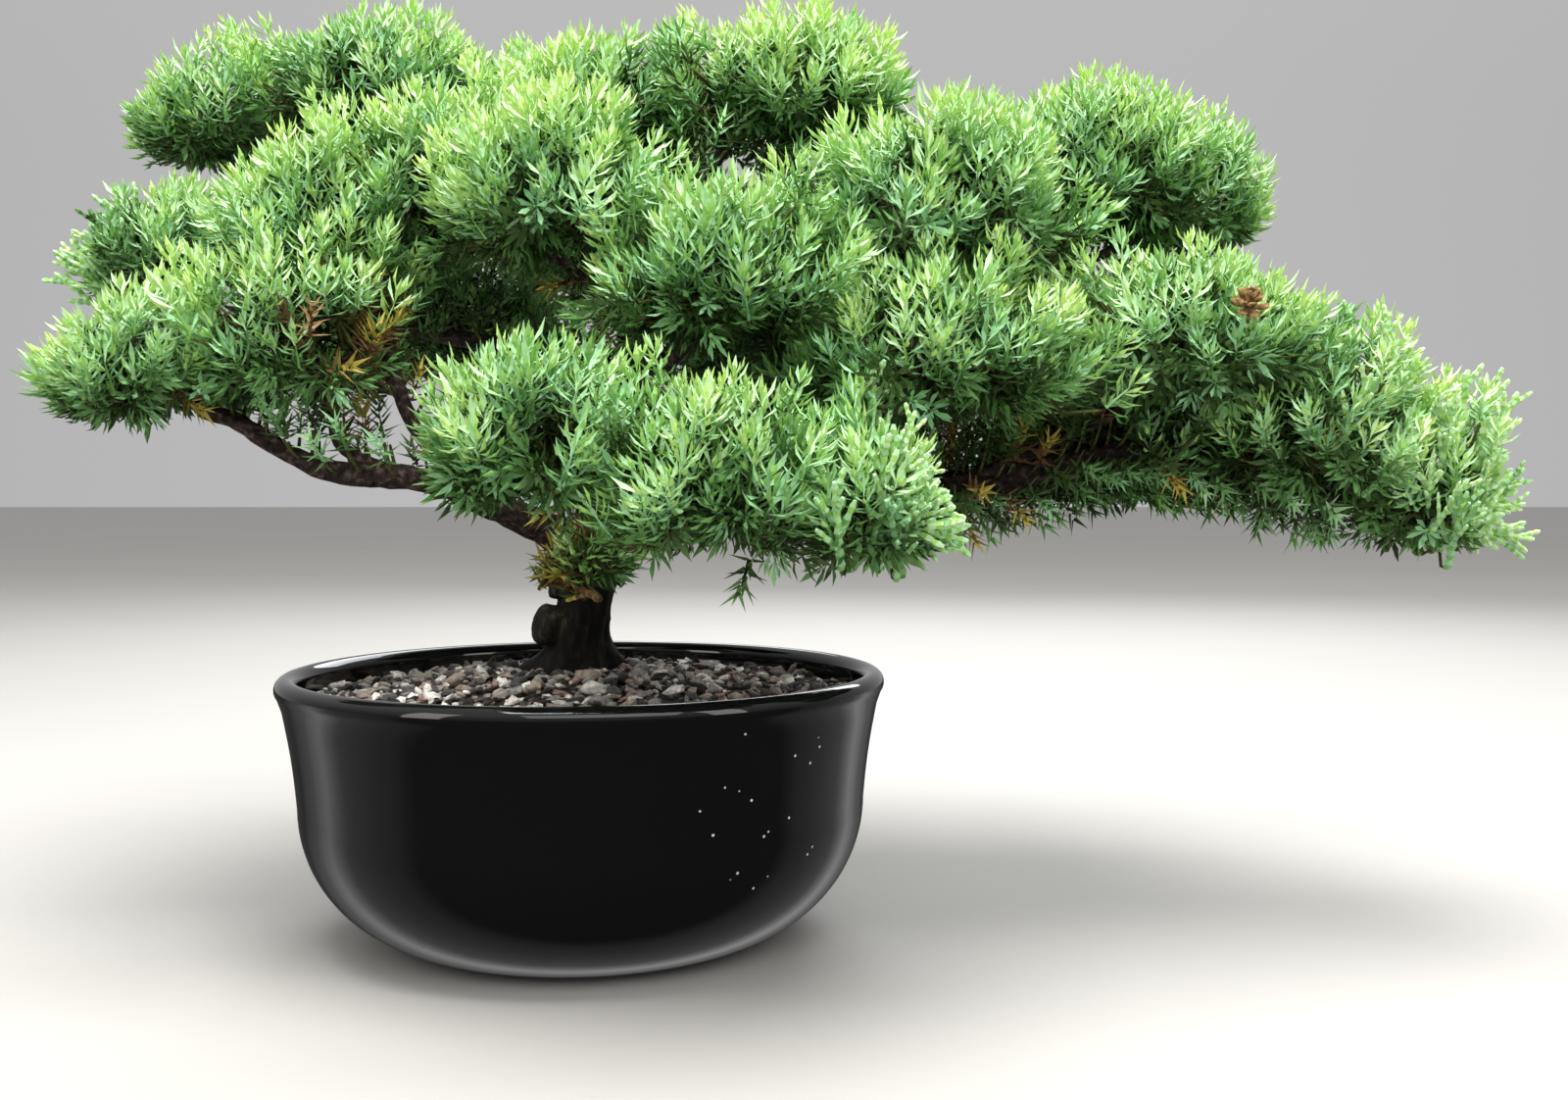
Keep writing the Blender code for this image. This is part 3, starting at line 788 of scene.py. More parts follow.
# TRUNK_LINE holds the trunk's places and radii, as in the part's source. ROOTS holds each surface root's
# direction, reach and width, and STUBS each healed stub's height, direction, radius and reach. Directions and
# the roots' widths are in degrees. TRUNK_SHOOTS says how the trunk itself carries side shoots.
UNDER_SHARE = 0.61
ENTRY_SHARE = 0.86
ENTRY_STEPS = 400
SHORTEST_SPAN = 0.005
BOUGH_TIP_RADIUS = 0.0010
BOUGH_TAPER = 0.011
TAPER_POWER = 0.8
STOUTEST_TIP = 1.4
MOST_OF_PARENT = 0.78
TRUNK_LINE = (
    ((-0.005, 0.004, 0.0653), 0.0086),
    ((-0.003, 0.004, 0.0700), 0.0072),
    ((-0.002, 0.004, 0.0770), 0.0066),
    ((0.000, 0.005, 0.0880), 0.0068),
    ((0.003, 0.007, 0.1000), 0.0066),
    ((0.009, 0.010, 0.1160), 0.0058),
    ((0.013, 0.013, 0.1340), 0.0051),
    ((0.012, 0.016, 0.1520), 0.0044),
    ((0.016, 0.019, 0.1700), 0.0037),
    ((0.024, 0.024, 0.1880), 0.0030),
    ((0.036, 0.033, 0.2080), 0.0021),
)
SPRIG_ALONG = 0.215
TRUNK_SHOOTS = Bough("", 0.0, leafy=0.42, lush=2.2)
FLARE_HEIGHT = 0.010
KNOB_SHARE = 1.22
ROOTS = (
    (8, 0.0075, 24), (72, 0.0040, 30), (140, 0.0045, 30),
    (196, 0.0060, 26), (250, 0.0035, 28), (310, 0.0045, 26),
)
STUBS = ((0.0765, 208, 0.0036, 0.0112), (0.0870, 195, 0.0027, 0.0088), (0.0925, 318, 0.0018, 0.0080))

PADS = {
    "trunk_sprig": Pad((0.002, -0.017, 0.094), (0.018, 0.014, 0.016), None, fresh_and_lit=0.35, cords=0.1, hang=0.9),
    "front_left": Pad(
        (-0.004, -0.068, 0.120), (0.028, 0.030, 0.031), Bough("trunk", 0.26, ((0.002, -0.022, 0.110),)),
        fresh_and_lit=0.2, bare=0.05,
    ),
    "front_middle": Pad(
        (0.035, -0.078, 0.111), (0.029, 0.029, 0.031),
        Bough("trunk", 0.40, ((0.017, -0.018, 0.116), (0.029, -0.043, 0.109)), 1.3), fresh_and_lit=0.15,
    ),
    "front_right": Pad(
        (0.069, -0.072, 0.106), (0.027, 0.027, 0.027),
        Bough("front_middle", 0.62, ((0.043, -0.060, 0.101),)), 16,
        fresh_and_lit=0.2, cords=1.0, hang=0.8, point=0.55,
    ),
    "centre_front": Pad(
        (0.037, -0.042, 0.157), (0.033, 0.031, 0.031), Bough("trunk", 0.49, ((0.024, -0.012, 0.144),)),
        fresh_and_lit=0.15,
    ),
    "centre_crown": Pad(
        (-0.004, -0.018, 0.181), (0.034, 0.032, 0.033), Bough("trunk", 0.56, ((0.008, -0.001, 0.161),)),
        fresh_and_lit=0.7,
    ),
    "upper_left": Pad(
        (-0.041, 0.020, 0.191), (0.036, 0.033, 0.033), Bough("trunk", 0.62, ((-0.010, 0.017, 0.173),)),
        fresh_and_lit=0.65,
    ),
    "left_low": Pad(
        (-0.106, -0.022, 0.138), (0.034, 0.031, 0.025),
        Bough(
            "trunk", 0.20,
            ((-0.025, -0.008, 0.109), (-0.039, -0.015, 0.114), (-0.057, -0.018, 0.1155),
             (-0.069, -0.019, 0.120), (-0.080, -0.020, 0.127)),
            1.75, 0.32, 0.0, 2.4,
        ),
        -14, hang=0.4, point=0.55,
    ),
    "left_middle": Pad(
        (-0.066, -0.017, 0.146), (0.036, 0.034, 0.032), Bough("left_low", 0.50, ((-0.056, -0.017, 0.121),)),
        fresh_and_lit=0.5,
    ),
    "left_upper": Pad(
        (-0.070, 0.010, 0.178), (0.033, 0.031, 0.029),
        Bough("left_low", 0.36, ((-0.0405, -0.013, 0.128), (-0.046, -0.010, 0.141), (-0.050, -0.004, 0.158))),
        fresh_and_lit=0.55,
    ),
    "left_behind": Pad(
        (-0.126, 0.045, 0.177), (0.035, 0.031, 0.024),
        Bough("trunk", 0.51, ((-0.035, 0.026, 0.152), (-0.085, 0.038, 0.163))), -18,
        fresh_and_lit=0.1, cords=0.5, point=0.6,
    ),
    "back_left_top": Pad(
        (-0.070, 0.073, 0.229), (0.046, 0.034, 0.028),
        Bough("trunk", 0.68, ((-0.012, 0.040, 0.190), (-0.042, 0.062, 0.212)), 1.2), fresh_and_lit=0.32,
    ),
    "back_left_tip": Pad(
        (-0.123, 0.075, 0.220), (0.034, 0.030, 0.025),
        Bough("back_left_top", 0.62, ((-0.064, 0.072, 0.207), (-0.092, 0.076, 0.207))), -12,
        fresh_and_lit=0.05, point=0.5,
    ),
    "top_middle": Pad(
        (-0.004, 0.050, 0.218), (0.038, 0.032, 0.028), Bough("trunk", 0.83, ((0.014, 0.038, 0.207),)),
        fresh_and_lit=0.6,
    ),
    "top_right": Pad((0.052, 0.042, 0.221), (0.041, 0.034, 0.029), None, fresh_and_lit=0.95, bare=0.0),
    "right_centre": Pad(
        (0.088, -0.012, 0.179), (0.040, 0.036, 0.034),
        Bough("trunk", 0.65, ((0.040, 0.008, 0.166), (0.062, -0.002, 0.170))), fresh_and_lit=0.5,
    ),
    "right_upper": Pad(
        (0.135, 0.038, 0.196), (0.040, 0.034, 0.035),
        Bough("trunk", 0.78, ((0.055, 0.026, 0.187), (0.095, 0.031, 0.188)), 1.1), fresh_and_lit=0.55,
    ),
    "right_upper_tip": Pad(
        (0.168, 0.044, 0.189), (0.025, 0.027, 0.027), Bough("right_upper", 0.72, ((0.130, 0.043, 0.176),)),
        fresh_and_lit=0.5, point=0.35,
    ),
    "right_shelf": Pad(
        (0.087, -0.036, 0.141), (0.042, 0.034, 0.030),
        Bough("trunk", 0.435, ((0.035, -0.004, 0.129), (0.060, -0.020, 0.132))), fresh_and_lit=0.45, bare=0.0,
    ),
    "right_middle": Pad(
        (0.152, -0.012, 0.146), (0.043, 0.036, 0.031), Bough("right_tip", 0.47, ((0.128, -0.008, 0.128),)),
        fresh_and_lit=0.5, point=0.4,
    ),
    "right_under": Pad(
        (0.136, 0.022, 0.120), (0.043, 0.033, 0.030), Bough("right_tip", 0.36, ((0.106, 0.009, 0.113),)),
        fresh_and_lit=0.05, bare=0.0,
    ),
    "right_outer": Pad(
        (0.186, -0.006, 0.123), (0.037, 0.033, 0.034),
        Bough("right_tip", 0.60, ((0.160, 0.002, 0.1225),)), 14, fresh_and_lit=0.7, cords=0.5, hang=0.55, point=0.45,
    ),
    "right_tip": Pad(
        (0.210, -0.008, 0.108), (0.031, 0.027, 0.033),
        Bough(
            "trunk", 0.33,
            ((0.040, 0.007, 0.112), (0.070, 0.003, 0.111), (0.100, 0.000, 0.113), (0.125, -0.002, 0.119),
             (0.145, -0.003, 0.1215), (0.170, -0.004, 0.115), (0.188, -0.006, 0.109)),
            2.0, 0.12, 0.9, 3.2,
        ),
        24, fresh_and_lit=0.75, cords=1.3, hang=0.85, point=0.75,
    ),
    "inner_right": Pad(
        (0.050, 0.016, 0.152), (0.034, 0.032, 0.032),
        Bough("trunk", 0.47, ((0.030, 0.012, 0.135),)), fresh_and_lit=0.0, bare=0.0,
    ),
    "back_centre": Pad(
        (0.010, 0.088, 0.187), (0.046, 0.034, 0.034),
        Bough("trunk", 0.70, ((0.014, 0.050, 0.178),)), bare=0.0,
    ),
    "back_right": Pad(
        (0.088, 0.078, 0.185), (0.044, 0.034, 0.034),
        Bough("trunk", 0.745, ((0.042, 0.046, 0.182),)),
    ),
    "back_low_right": Pad(
        (0.062, 0.067, 0.143), (0.043, 0.036, 0.032),
        Bough("trunk", 0.39, ((0.028, 0.034, 0.131),), 1.2), bare=0.0,
    ),
    "back_low_left": Pad(
        (-0.048, 0.067, 0.158), (0.046, 0.036, 0.033),
        Bough("trunk", 0.445, ((-0.008, 0.036, 0.143),)), bare=0.0,
    ),
    "back_far_right": Pad(
        (0.146, 0.070, 0.153), (0.038, 0.031, 0.031),
        Bough("back_low_right", 0.55, ((0.074, 0.062, 0.125), (0.108, 0.068, 0.137))),
    ),
}


def smooth_line(points: Sequence, per_span: int) -> list[Vector]:
    """A Catmull-Rom line.

    Args:
        points: Where it runs through.
        per_span: Steps between each two.

    Returns:
        Its points.
    """
    places = [Vector(point) for point in points]
    ends = [places[0] * 2 - places[1], *places, places[-1] * 2 - places[-2]]
    line = []
    for first, second, third, fourth in zip(ends, ends[1:], ends[2:], ends[3:]):
        for step in range(per_span):
            t = step / per_span
            bend = (2 * first - 5 * second + 4 * third - fourth) * t * t
            bend += (3 * second - first - 3 * third + fourth) * t**3
            line.append(0.5 * (2 * second + (third - first) * t + bend))
    return [*line, places[-1]]


def slanted(lean: float, turn: float) -> Vector:
    """A direction that leans so many radians from +Z, turned so many round it."""
    return Vector((math.sin(lean) * math.cos(turn), math.sin(lean) * math.sin(turn), math.cos(lean)))


class Limb:
    """A limb's smooth line with its radius at each point."""

    def __init__(self, points: list[Vector], radii: list[float]) -> None:
        """Measures the line.

        Args:
            points: Its line.
            radii: Its radius at each of them.
        """
        self.points = points
        self.radii = radii
        self.lengths = [0.0]
        for start, end in zip(points, points[1:]):
            self.lengths.append(self.lengths[-1] + (end - start).length)

    @property
    def length(self) -> float:
        """The whole length of the line."""
        return self.lengths[-1]

    def at(self, share: float) -> tuple[Vector, float]:
        """Finds a place on the limb.

        Args:
            share: How far along, from 0 to 1.

        Returns:
            The point and the radius there.
        """
        wanted = share * self.length
        passed = (index for index, reached in enumerate(self.lengths) if index and reached >= wanted)
        index = next(passed, len(self.points) - 1)
        part = (wanted - self.lengths[index - 1]) / (self.lengths[index] - self.lengths[index - 1])
        point = self.points[index - 1].lerp(self.points[index], part)
        return point, self.radii[index - 1] * (1 - part) + self.radii[index] * part

    def gap_to(self, point: Vector) -> float:
        """How far the point is from the limb's surface.

        Args:
            point: The point.

        Returns:
            The distance, below 0 inside the limb.
        """
        line = np.array(self.points)
        steps = line[1:] - line[:-1]
        offsets = np.array(point) - line[:-1]
        parts = np.clip((offsets * steps).sum(1) / (steps**2).sum(1), 0, 1)
        radii = np.array(self.radii[:-1]) * (1 - parts) + np.array(self.radii[1:]) * parts
        return float((np.linalg.norm(offsets - steps * parts[:, None], axis=1) - radii).min())


@dataclass
class Limbs:
    """The trunk and every bough, by the source's rule, and their bark."""

    per_span: int = 8
    trunk_sides: int = 56
    bough_sides: int = 18
    ring_gap: float = 0.0011
    broad_ridge: float = 0.09
    fine_ridge: float = 0.05
    bark_share: float = 1.34
    collar: float = 0.4
    crack_depth: float = 0.20
    scale_depth: float = 0.17
    lines: dict[str, Limb] = field(default_factory=dict)

    def grow(self) -> None:
        """Works out every limb's line. A bough on another bough comes after it."""
        self.lines["trunk"] = self.trunk_line()
        waiting = {name: pad for name, pad in PADS.items() if pad.bough}
        while waiting:
            for name, pad in list(waiting.items()):
                if pad.bough.parent in self.lines:
                    self.lines[name] = self.bough_line(pad)
                    del waiting[name]

    def trunk_line(self) -> Limb:
        """The trunk's line through its named places.

        Returns:
            The trunk.
        """
        line = smooth_line([place for place, _ in TRUNK_LINE], self.per_span)
        radii = []
        for (_, start), (_, end) in zip(TRUNK_LINE, TRUNK_LINE[1:]):
            radii += [start + (end - start) * step / self.per_span for step in range(self.per_span)]
        return Limb(line, [*radii, TRUNK_LINE[-1][1]])

    def bough_line(self, pad: Pad) -> Limb:
        """A bough from its parent's line to where it enters its pad.

        Args:
            pad: The pad that it carries.

        Returns:
            The bough.
        """
        bough = pad.bough
        start, parent_radius = self.lines[bough.parent].at(bough.along)
        via = [Vector(place) for place in bough.via]
        towards = Vector(pad.centre) - via[-1]
        steps = (via[-1] + towards * step / ENTRY_STEPS for step in range(1, ENTRY_STEPS))
        entry = next(point for point in steps if pad.reach(point) <= ENTRY_SHARE)
        if (entry - via[-1]).length < SHORTEST_SPAN:
            via.pop()
        line = smooth_line([start, *via, entry], self.per_span)
        limb = Limb(line, [0.0] * len(line))
        tip = BOUGH_TIP_RADIUS * min(bough.stout, STOUTEST_TIP)
        root = min(tip + BOUGH_TAPER * limb.length * bough.stout, MOST_OF_PARENT * parent_radius)
        shares = (reached / limb.length for reached in limb.lengths)
        limb.radii = [root + (tip - root) * share ** TAPER_POWER for share in shares]
        return limb

    @staticmethod
    def flare(angle: float, height: float) -> float:
        """How far the surface roots push the trunk out.

        Args:
            angle: The direction, in radians.
            height: The height above the soil.

        Returns:
            The distance.
        """
        fade = max(0.0, 1 - height / FLARE_HEIGHT) ** 2
        push = 0.0
        for compass, reach, width in ROOTS:
            away = (math.degrees(angle) - compass + 180) % 360 - 180
            push += reach * math.exp(-((away / width) ** 2))
        return push * fade

    def trunk_bark(self, finish: Material, cut: Material) -> Object:
        """The trunk with stringy ridges, plates of bark, surface roots and healed stubs.

        Args:
            finish: The bark's material.
            cut: The healed cuts' material.

        Returns:
            The piece.
        """
        limb = self.lines["trunk"]
        foot = limb.points[0].z
        rings = round(limb.length / self.ring_gap)
        points = []
        for ring in range(rings):
            middle, radius = limb.at(ring / (rings - 1))
            height = middle.z - foot
            for side in range(self.trunk_sides):
                angle = math.tau * side / self.trunk_sides
                out = Vector((math.cos(angle), math.sin(angle), 0))
                ridge = 1 + self.broad_ridge * math.sin(3 * angle + 60 * height)
                ridge += self.fine_ridge * math.sin(5 * angle - 90 * height)
                girth = radius * ridge + self.flare(angle, height)
                girth += self.stringy(middle + out * girth, radius)
                points.append(tuple(middle + out * girth))
        bark = MeshBuffer()
        bark.add(np.array(points), tube_faces(rings, self.trunk_sides))
        for stub in STUBS:
            self.add_stub(bark, limb, *stub)
        return bark.build("trunk_bark", (finish, cut), smooth=True)

    @staticmethod
    def stringy(place: Vector, radius: float) -> float:
        """Bark relief: long strips that lift at their edges, and finer flakes.

        Args:
            place: A point on the limb.
            radius: The limb's radius there.

        Returns:
            How far the bark stands out.
        """
        strips = noise.noise(Vector((place.x * 330, place.y * 330, place.z * 55)))
        flakes = noise.noise(place * 700)
        plates = noise.noise(Vector((place.x * 120, place.y * 120, place.z * 80)) + Vector((7, 3, 1)))
        return radius * (0.10 * (1 - abs(strips) * 2) + 0.035 * flakes + 0.08 * plates)

    def add_stub(
        self, bark: MeshBuffer, limb: Limb, height: float, compass: float, radius: float, reach: float
    ) -> None:
        """Adds a healed stub: a short thick peg on a broad collar, with a rolled edge round its cut.

        Args:
            bark: Where it goes.
            limb: What it stands on.
            height: Its height above the bowl's foot.
            compass: Its direction, in degrees.
            radius: Its radius.
            reach: How far it stands out.
        """
        middle = next(point for point in limb.points if point.z >= height - 0.004)
        out = Vector((math.cos(math.radians(compass)), math.sin(math.radians(compass)), 0.25)).normalized()
        start = Vector((middle.x, middle.y, height - 0.0015))
        shares = (
            (0.0, 1.75), (0.30, 1.50), (0.52, 1.22), (0.72, 1.12), (0.86, 1.20), (0.95, 1.10), (1.0, 0.86),
            (0.985, 0.60), (0.975, 0.25),
        )

        def knobs(place: Vector, angle: float, along: float) -> float:
            """Lumps of healed bark."""
            return radius * (0.16 * noise.noise(place * 380) + 0.08 * noise.noise(place * 900))

        path = [start + out * reach * share for share, _ in shares]
        points, faces = loft(path, [KNOB_SHARE * radius * girth for _, girth in shares], 24, knobs)
        bark.add(points, faces, 1)

    def bough_bark(self, finish: Material) -> Object:
        """Every bough in one piece, each with a collar where it leaves its parent.

        Args:
            finish: The bark's material.

        Returns:
            The piece.
        """
        bark = MeshBuffer()
        for name, limb in self.lines.items():
            if name == "trunk":
                continue
            parent_radius = self.lines[PADS[name].bough.parent].at(PADS[name].bough.along)[1]
            rings = max(12, round(limb.length / (2 * self.ring_gap)))
            path, radii = [], []
            for ring in range(rings):
                share = ring / (rings - 1)
                point, radius = limb.at(share)
                past = max(0.0, share * limb.length - parent_radius)
                path.append(point)
                collar = 1 + self.collar * math.exp(-past / (1.4 * limb.radii[0]))
                radii.append(radius * self.bark_share * collar)
            mean = sum(radii) / len(radii)

            def relief(place: Vector, angle: float, along: float, mean: float = mean) -> float:
                """Lengthwise cracks and scales.

                Args:
                    place: A point on the bough.
                    angle: Its direction round it.
                    along: Its length along it.
                    mean: The bough's mean radius.

                Returns:
                    How far the bark stands out.
                """
                cracks = noise.noise(Vector((math.cos(angle) * 1.6, math.sin(angle) * 1.6, along * 130)))
                scales = noise.noise(place * 620)
                return mean * (self.crack_depth * cracks + self.scale_depth * scales)

            points, faces = loft(path, radii, self.bough_sides, relief)
            bark.add(points, faces)
        return bark.build("bough_bark", (finish,), smooth=True)


class Tint(IntEnum):
    """The needles' colours, from the youngest to the dead, with two spare steps after shade and dead.

    The greens from LIME down to SHADE are partly the needles' own age and partly painted light and shade.
    """

    LIME = 0
    SPRING = 1
    LEAF = 2
    BLUE = 3
    DEEP = 4
    SHADE = 5
    SHADE_AGAIN = 6
    SHADE_LAST = 7
    STRAW = 8
    DEAD = 9
    DEAD_AGAIN = 10
    DEAD_LAST = 11


# Each tint as (under side, upper side): the upper side of a needle has a paler, bluer bloom.
# The greens from LIME to SHADE stand partly for the needles' age and partly for painted light and shade.
NEEDLE_COLOURS = {
    Tint.LIME: ((190, 222, 122), (198, 227, 170)),
    Tint.SPRING: ((174, 212, 120), (184, 218, 168)),
    Tint.LEAF: ((148, 193, 102), (160, 203, 150)),
    Tint.BLUE: ((112, 160, 86), (136, 184, 136)),
    Tint.DEEP: ((78, 120, 56), (102, 146, 88)),
    Tint.SHADE: ((46, 66, 28), (66, 92, 46)),
    Tint.STRAW: ((148, 138, 54), (186, 168, 78)),
    Tint.DEAD: ((98, 72, 44), (134, 104, 66)),
}
WITHERED_TINTS = (Tint.STRAW, Tint.STRAW, Tint.STRAW, Tint.DEAD)
# Painted shade: the dark tints given to shoots inside the pads and under them.
INNER_SHADE_TINTS = (Tint.DEEP, Tint.SHADE, Tint.SHADE)
UNDER_SHADE_TINTS = (Tint.BLUE, Tint.DEEP, Tint.DEEP, Tint.SHADE)


@dataclass
class ShootShapes:
    """The small shapes that the crown is made of: starry young shoots, thin inner ones and scaly cords."""

    star_kinds: int = 10
    inner_kinds: int = 4
    cord_kinds: int = 5
    star_length: float = 9.0 * MM
    needle_length: float = 6.4 * MM
    needle_width: float = 1.15 * MM
    cord_length: float = 18 * MM
    cord_radius: float = 1.0 * MM
    cord_fork: float = 0.55
    stem_width: float = 1.2 * MM
    seed: int = 41

    def build(self, first: Material) -> Collection:
        """Makes every shape, in a collection that isn't in the scene.

        Args:
            first: A material to start their slots with.

        Returns:
            The collection. Its objects sort by name into kinds: stars, then inner ones, then cords.
        """
        rng = random.Random(self.seed)
        shapes = bpy.data.collections.new("shoot_shapes")
        makers = [self.star] * self.star_kinds
        makers += [self.inner] * self.inner_kinds + [self.cord] * self.cord_kinds
        for index, maker in enumerate(makers):
            buffer = MeshBuffer()
            maker(buffer, rng)
            shapes.objects.link(buffer.build(f"shoot_{index:02d}", (first,)))
        return shapes

    def needle(
        self, buffer: MeshBuffer, foot: Vector, way: Vector, length: float, width: float, age: int,
        bent: bool = True,
    ) -> None:
        """Adds one awl-shaped needle, flat above, keeled below and with a sharp tip.

        Args:
            buffer: Where it goes.
            foot: Where it leaves the shoot.
            way: Which way it points.
            length: Its length.
            width: Its greatest width.
            age: How many tints darker than the youngest of its shoot it is.
            bent: Whether it is widest past its middle, where it bends up. If not, it is widest at its foot.
        """
        face = UP - way * way.z
        face = face.normalized() if face.length > 1e-4 else Vector((1, 0, 0))
        side = way.cross(face)
        tip = foot + way * length
        if bent:
            waist = foot + way * length * 0.60 - face * length * 0.10
            faces = ((0, 1, 2), (4, 2, 1), (0, 2, 3), (0, 3, 1), (4, 3, 2), (4, 1, 3))
            sides = [1, 1, 0, 0, 0, 0]
        else:
            waist = foot + way * length * 0.12
            faces = ((4, 2, 1), (1, 2, 3), (4, 3, 2), (4, 1, 3))
            sides = [1, 0, 0, 0]
        flat = waist + face * width * 0.08
        points = (foot, flat + side * width / 2, flat - side * width / 2, waist - face * width * 0.30, tip)
        if not bent:
            points, faces = points[1:], tuple(tuple(index - 1 for index in corners) for corners in faces)
        marks = {"age": [age] * len(faces), "side": sides}
        buffer.add(np.array([tuple(point) for point in points]), faces, 0, marks)

    def whorls(
        self, buffer: MeshBuffer, rng: random.Random, count: int, each: int, angles: tuple[float, float],
        lengths: tuple[float, float, float], width: float, reach: float, bent: bool = True,
    ) -> None:
        """Adds whorls of needles up the shape's +Z axis.

        Args:
            buffer: Where they go.
            rng: The shape's own chance.
            count: How many whorls.
            each: Needles in a whorl.
            angles: Degrees from the axis at the lowest and the top whorl.
            lengths: A needle's length at the lowest, the middle and the top whorl.
            width: A needle's width.
            reach: How long the axis is.
            bent: Whether the needles bend up.
        """
        for level in range(count):
            share = level / (count - 1)
            tilt = angles[0] + (angles[1] - angles[0]) * share**1.2
            low, middle, top = lengths
            length = low + (middle - low) * min(1, 2 * share) + (top - middle) * max(0, 2 * share - 1)
            for step in range(each):
                turn = math.tau * (step + 0.5 * (level % 2)) / each + rng.uniform(-0.28, 0.28)
                lean = math.radians(tilt + rng.uniform(-9, 9))
                way = slanted(lean, turn)
                foot = Vector((0, 0, reach * (0.12 + 0.88 * share)))
                age = 2 if share < 0.25 else int(share < 0.55)
                self.needle(buffer, foot, way, length * rng.uniform(0.88, 1.1), width, age, bent)

    def star(self, buffer: MeshBuffer, rng: random.Random) -> None:
        """A young shoot: whorls of three needles that close towards its tip.

        Args:
            buffer: Where it goes.
            rng: The shape's own chance.
        """
        reach = self.star_length * rng.uniform(0.9, 1.1)
        full = self.needle_length * rng.uniform(0.92, 1.08)
        width = self.needle_width
        self.needle(buffer, Vector((0, 0, 0)), UP.copy(), reach, self.stem_width, 1, False)
        self.whorls(buffer, rng, 6, 3, (66, 28), (0.86 * full, full, 0.95 * full), width, reach)
        self.whorls(buffer, rng, 2, 2, (22, 8), (0.7 * full, 0.7 * full, 0.68 * full), 0.9 * width, reach)

    def inner(self, buffer: MeshBuffer, rng: random.Random) -> None:
        """An older shoot inside the pad: fewer, straighter needles.

        Args:
            buffer: Where it goes.
            rng: The shape's own chance.
        """
        reach = 1.1 * self.star_length
        full = self.needle_length
        self.needle(buffer, Vector((0, 0, 0)), UP.copy(), reach, self.stem_width, 1, False)
        width = 1.1 * self.needle_width
        self.whorls(buffer, rng, 6, 3, (72, 36), (0.9 * full, full, 0.8 * full), width, reach, False)

    def cord(self, buffer: MeshBuffer, rng: random.Random) -> None:
        """A scaly shoot: a plump beaded cord of pressed scales, with side cords.

        Args:
            buffer: Where it goes.
            rng: The shape's own chance.
        """
        reach = self.cord_length * rng.uniform(0.9, 1.1)
        self.beads(buffer, Vector((0, 0, 0)), UP, reach, 8, self.cord_radius, 5)
        for step in range(5):
            share = 0.22 + 0.15 * step
            turn = step * GOLDEN_ANGLE + rng.uniform(-0.4, 0.4)
            side_reach = self.cord_length * (0.52 - 0.26 * share)
            way = slanted(self.cord_fork, turn)
            self.beads(buffer, UP * reach * share, way, side_reach, 3, 0.86 * self.cord_radius, 4)

    @staticmethod
    def beads(
        buffer: MeshBuffer, foot: Vector, way: Vector, reach: float, count: int, radius: float, sides: int
    ) -> None:
        """Adds one cord of beads, older at its foot and paler towards each bead's tip.

        Args:
            buffer: Where it goes.
            foot: Where the cord starts.
            way: Which way it points.
            reach: Its length.
            count: How many beads.
            radius: Its greatest radius.
            sides: Points round it.
        """
        rows = 2 * count
        path = [foot + way * reach * row / rows for row in range(rows + 1)]
        radii = [radius * (1 - 0.3 * row / rows) * (1.0 if row % 2 else 0.7) for row in range(rows)]
        points, faces = loft(path, [*radii, 0.4 * radius], sides)
        ages = [int(row < rows * 0.4) for row in range(rows) for _ in range(sides)]
        pale = [row % 2 for row in range(rows) for _ in range(sides)]
        buffer.add(points, faces, 0, {"age": [*ages, 1, 0], "side": [*pale, 0, 1]})


@dataclass(frozen=True)
class Withered:
    """A place in the crown where shaded shoots have died. bare is the share of them that is gone."""

    centre: tuple
    radius: float
    bare: float = 0.35

    def holds(self, point: Vector) -> bool:
        """Whether the point lies in it."""
        return (point - Vector(self.centre)).length < self.radius


WITHERED = (
    Withered((-0.050, -0.046, 0.150), 0.019, 0.88),
    Withered((-0.048, -0.014, 0.143), 0.017, 0.75),
    Withered((-0.018, -0.040, 0.158), 0.014),
    Withered((-0.008, -0.020, 0.094), 0.013, 0.0),
    Withered((-0.082, -0.030, 0.125), 0.009, 0.3),
)


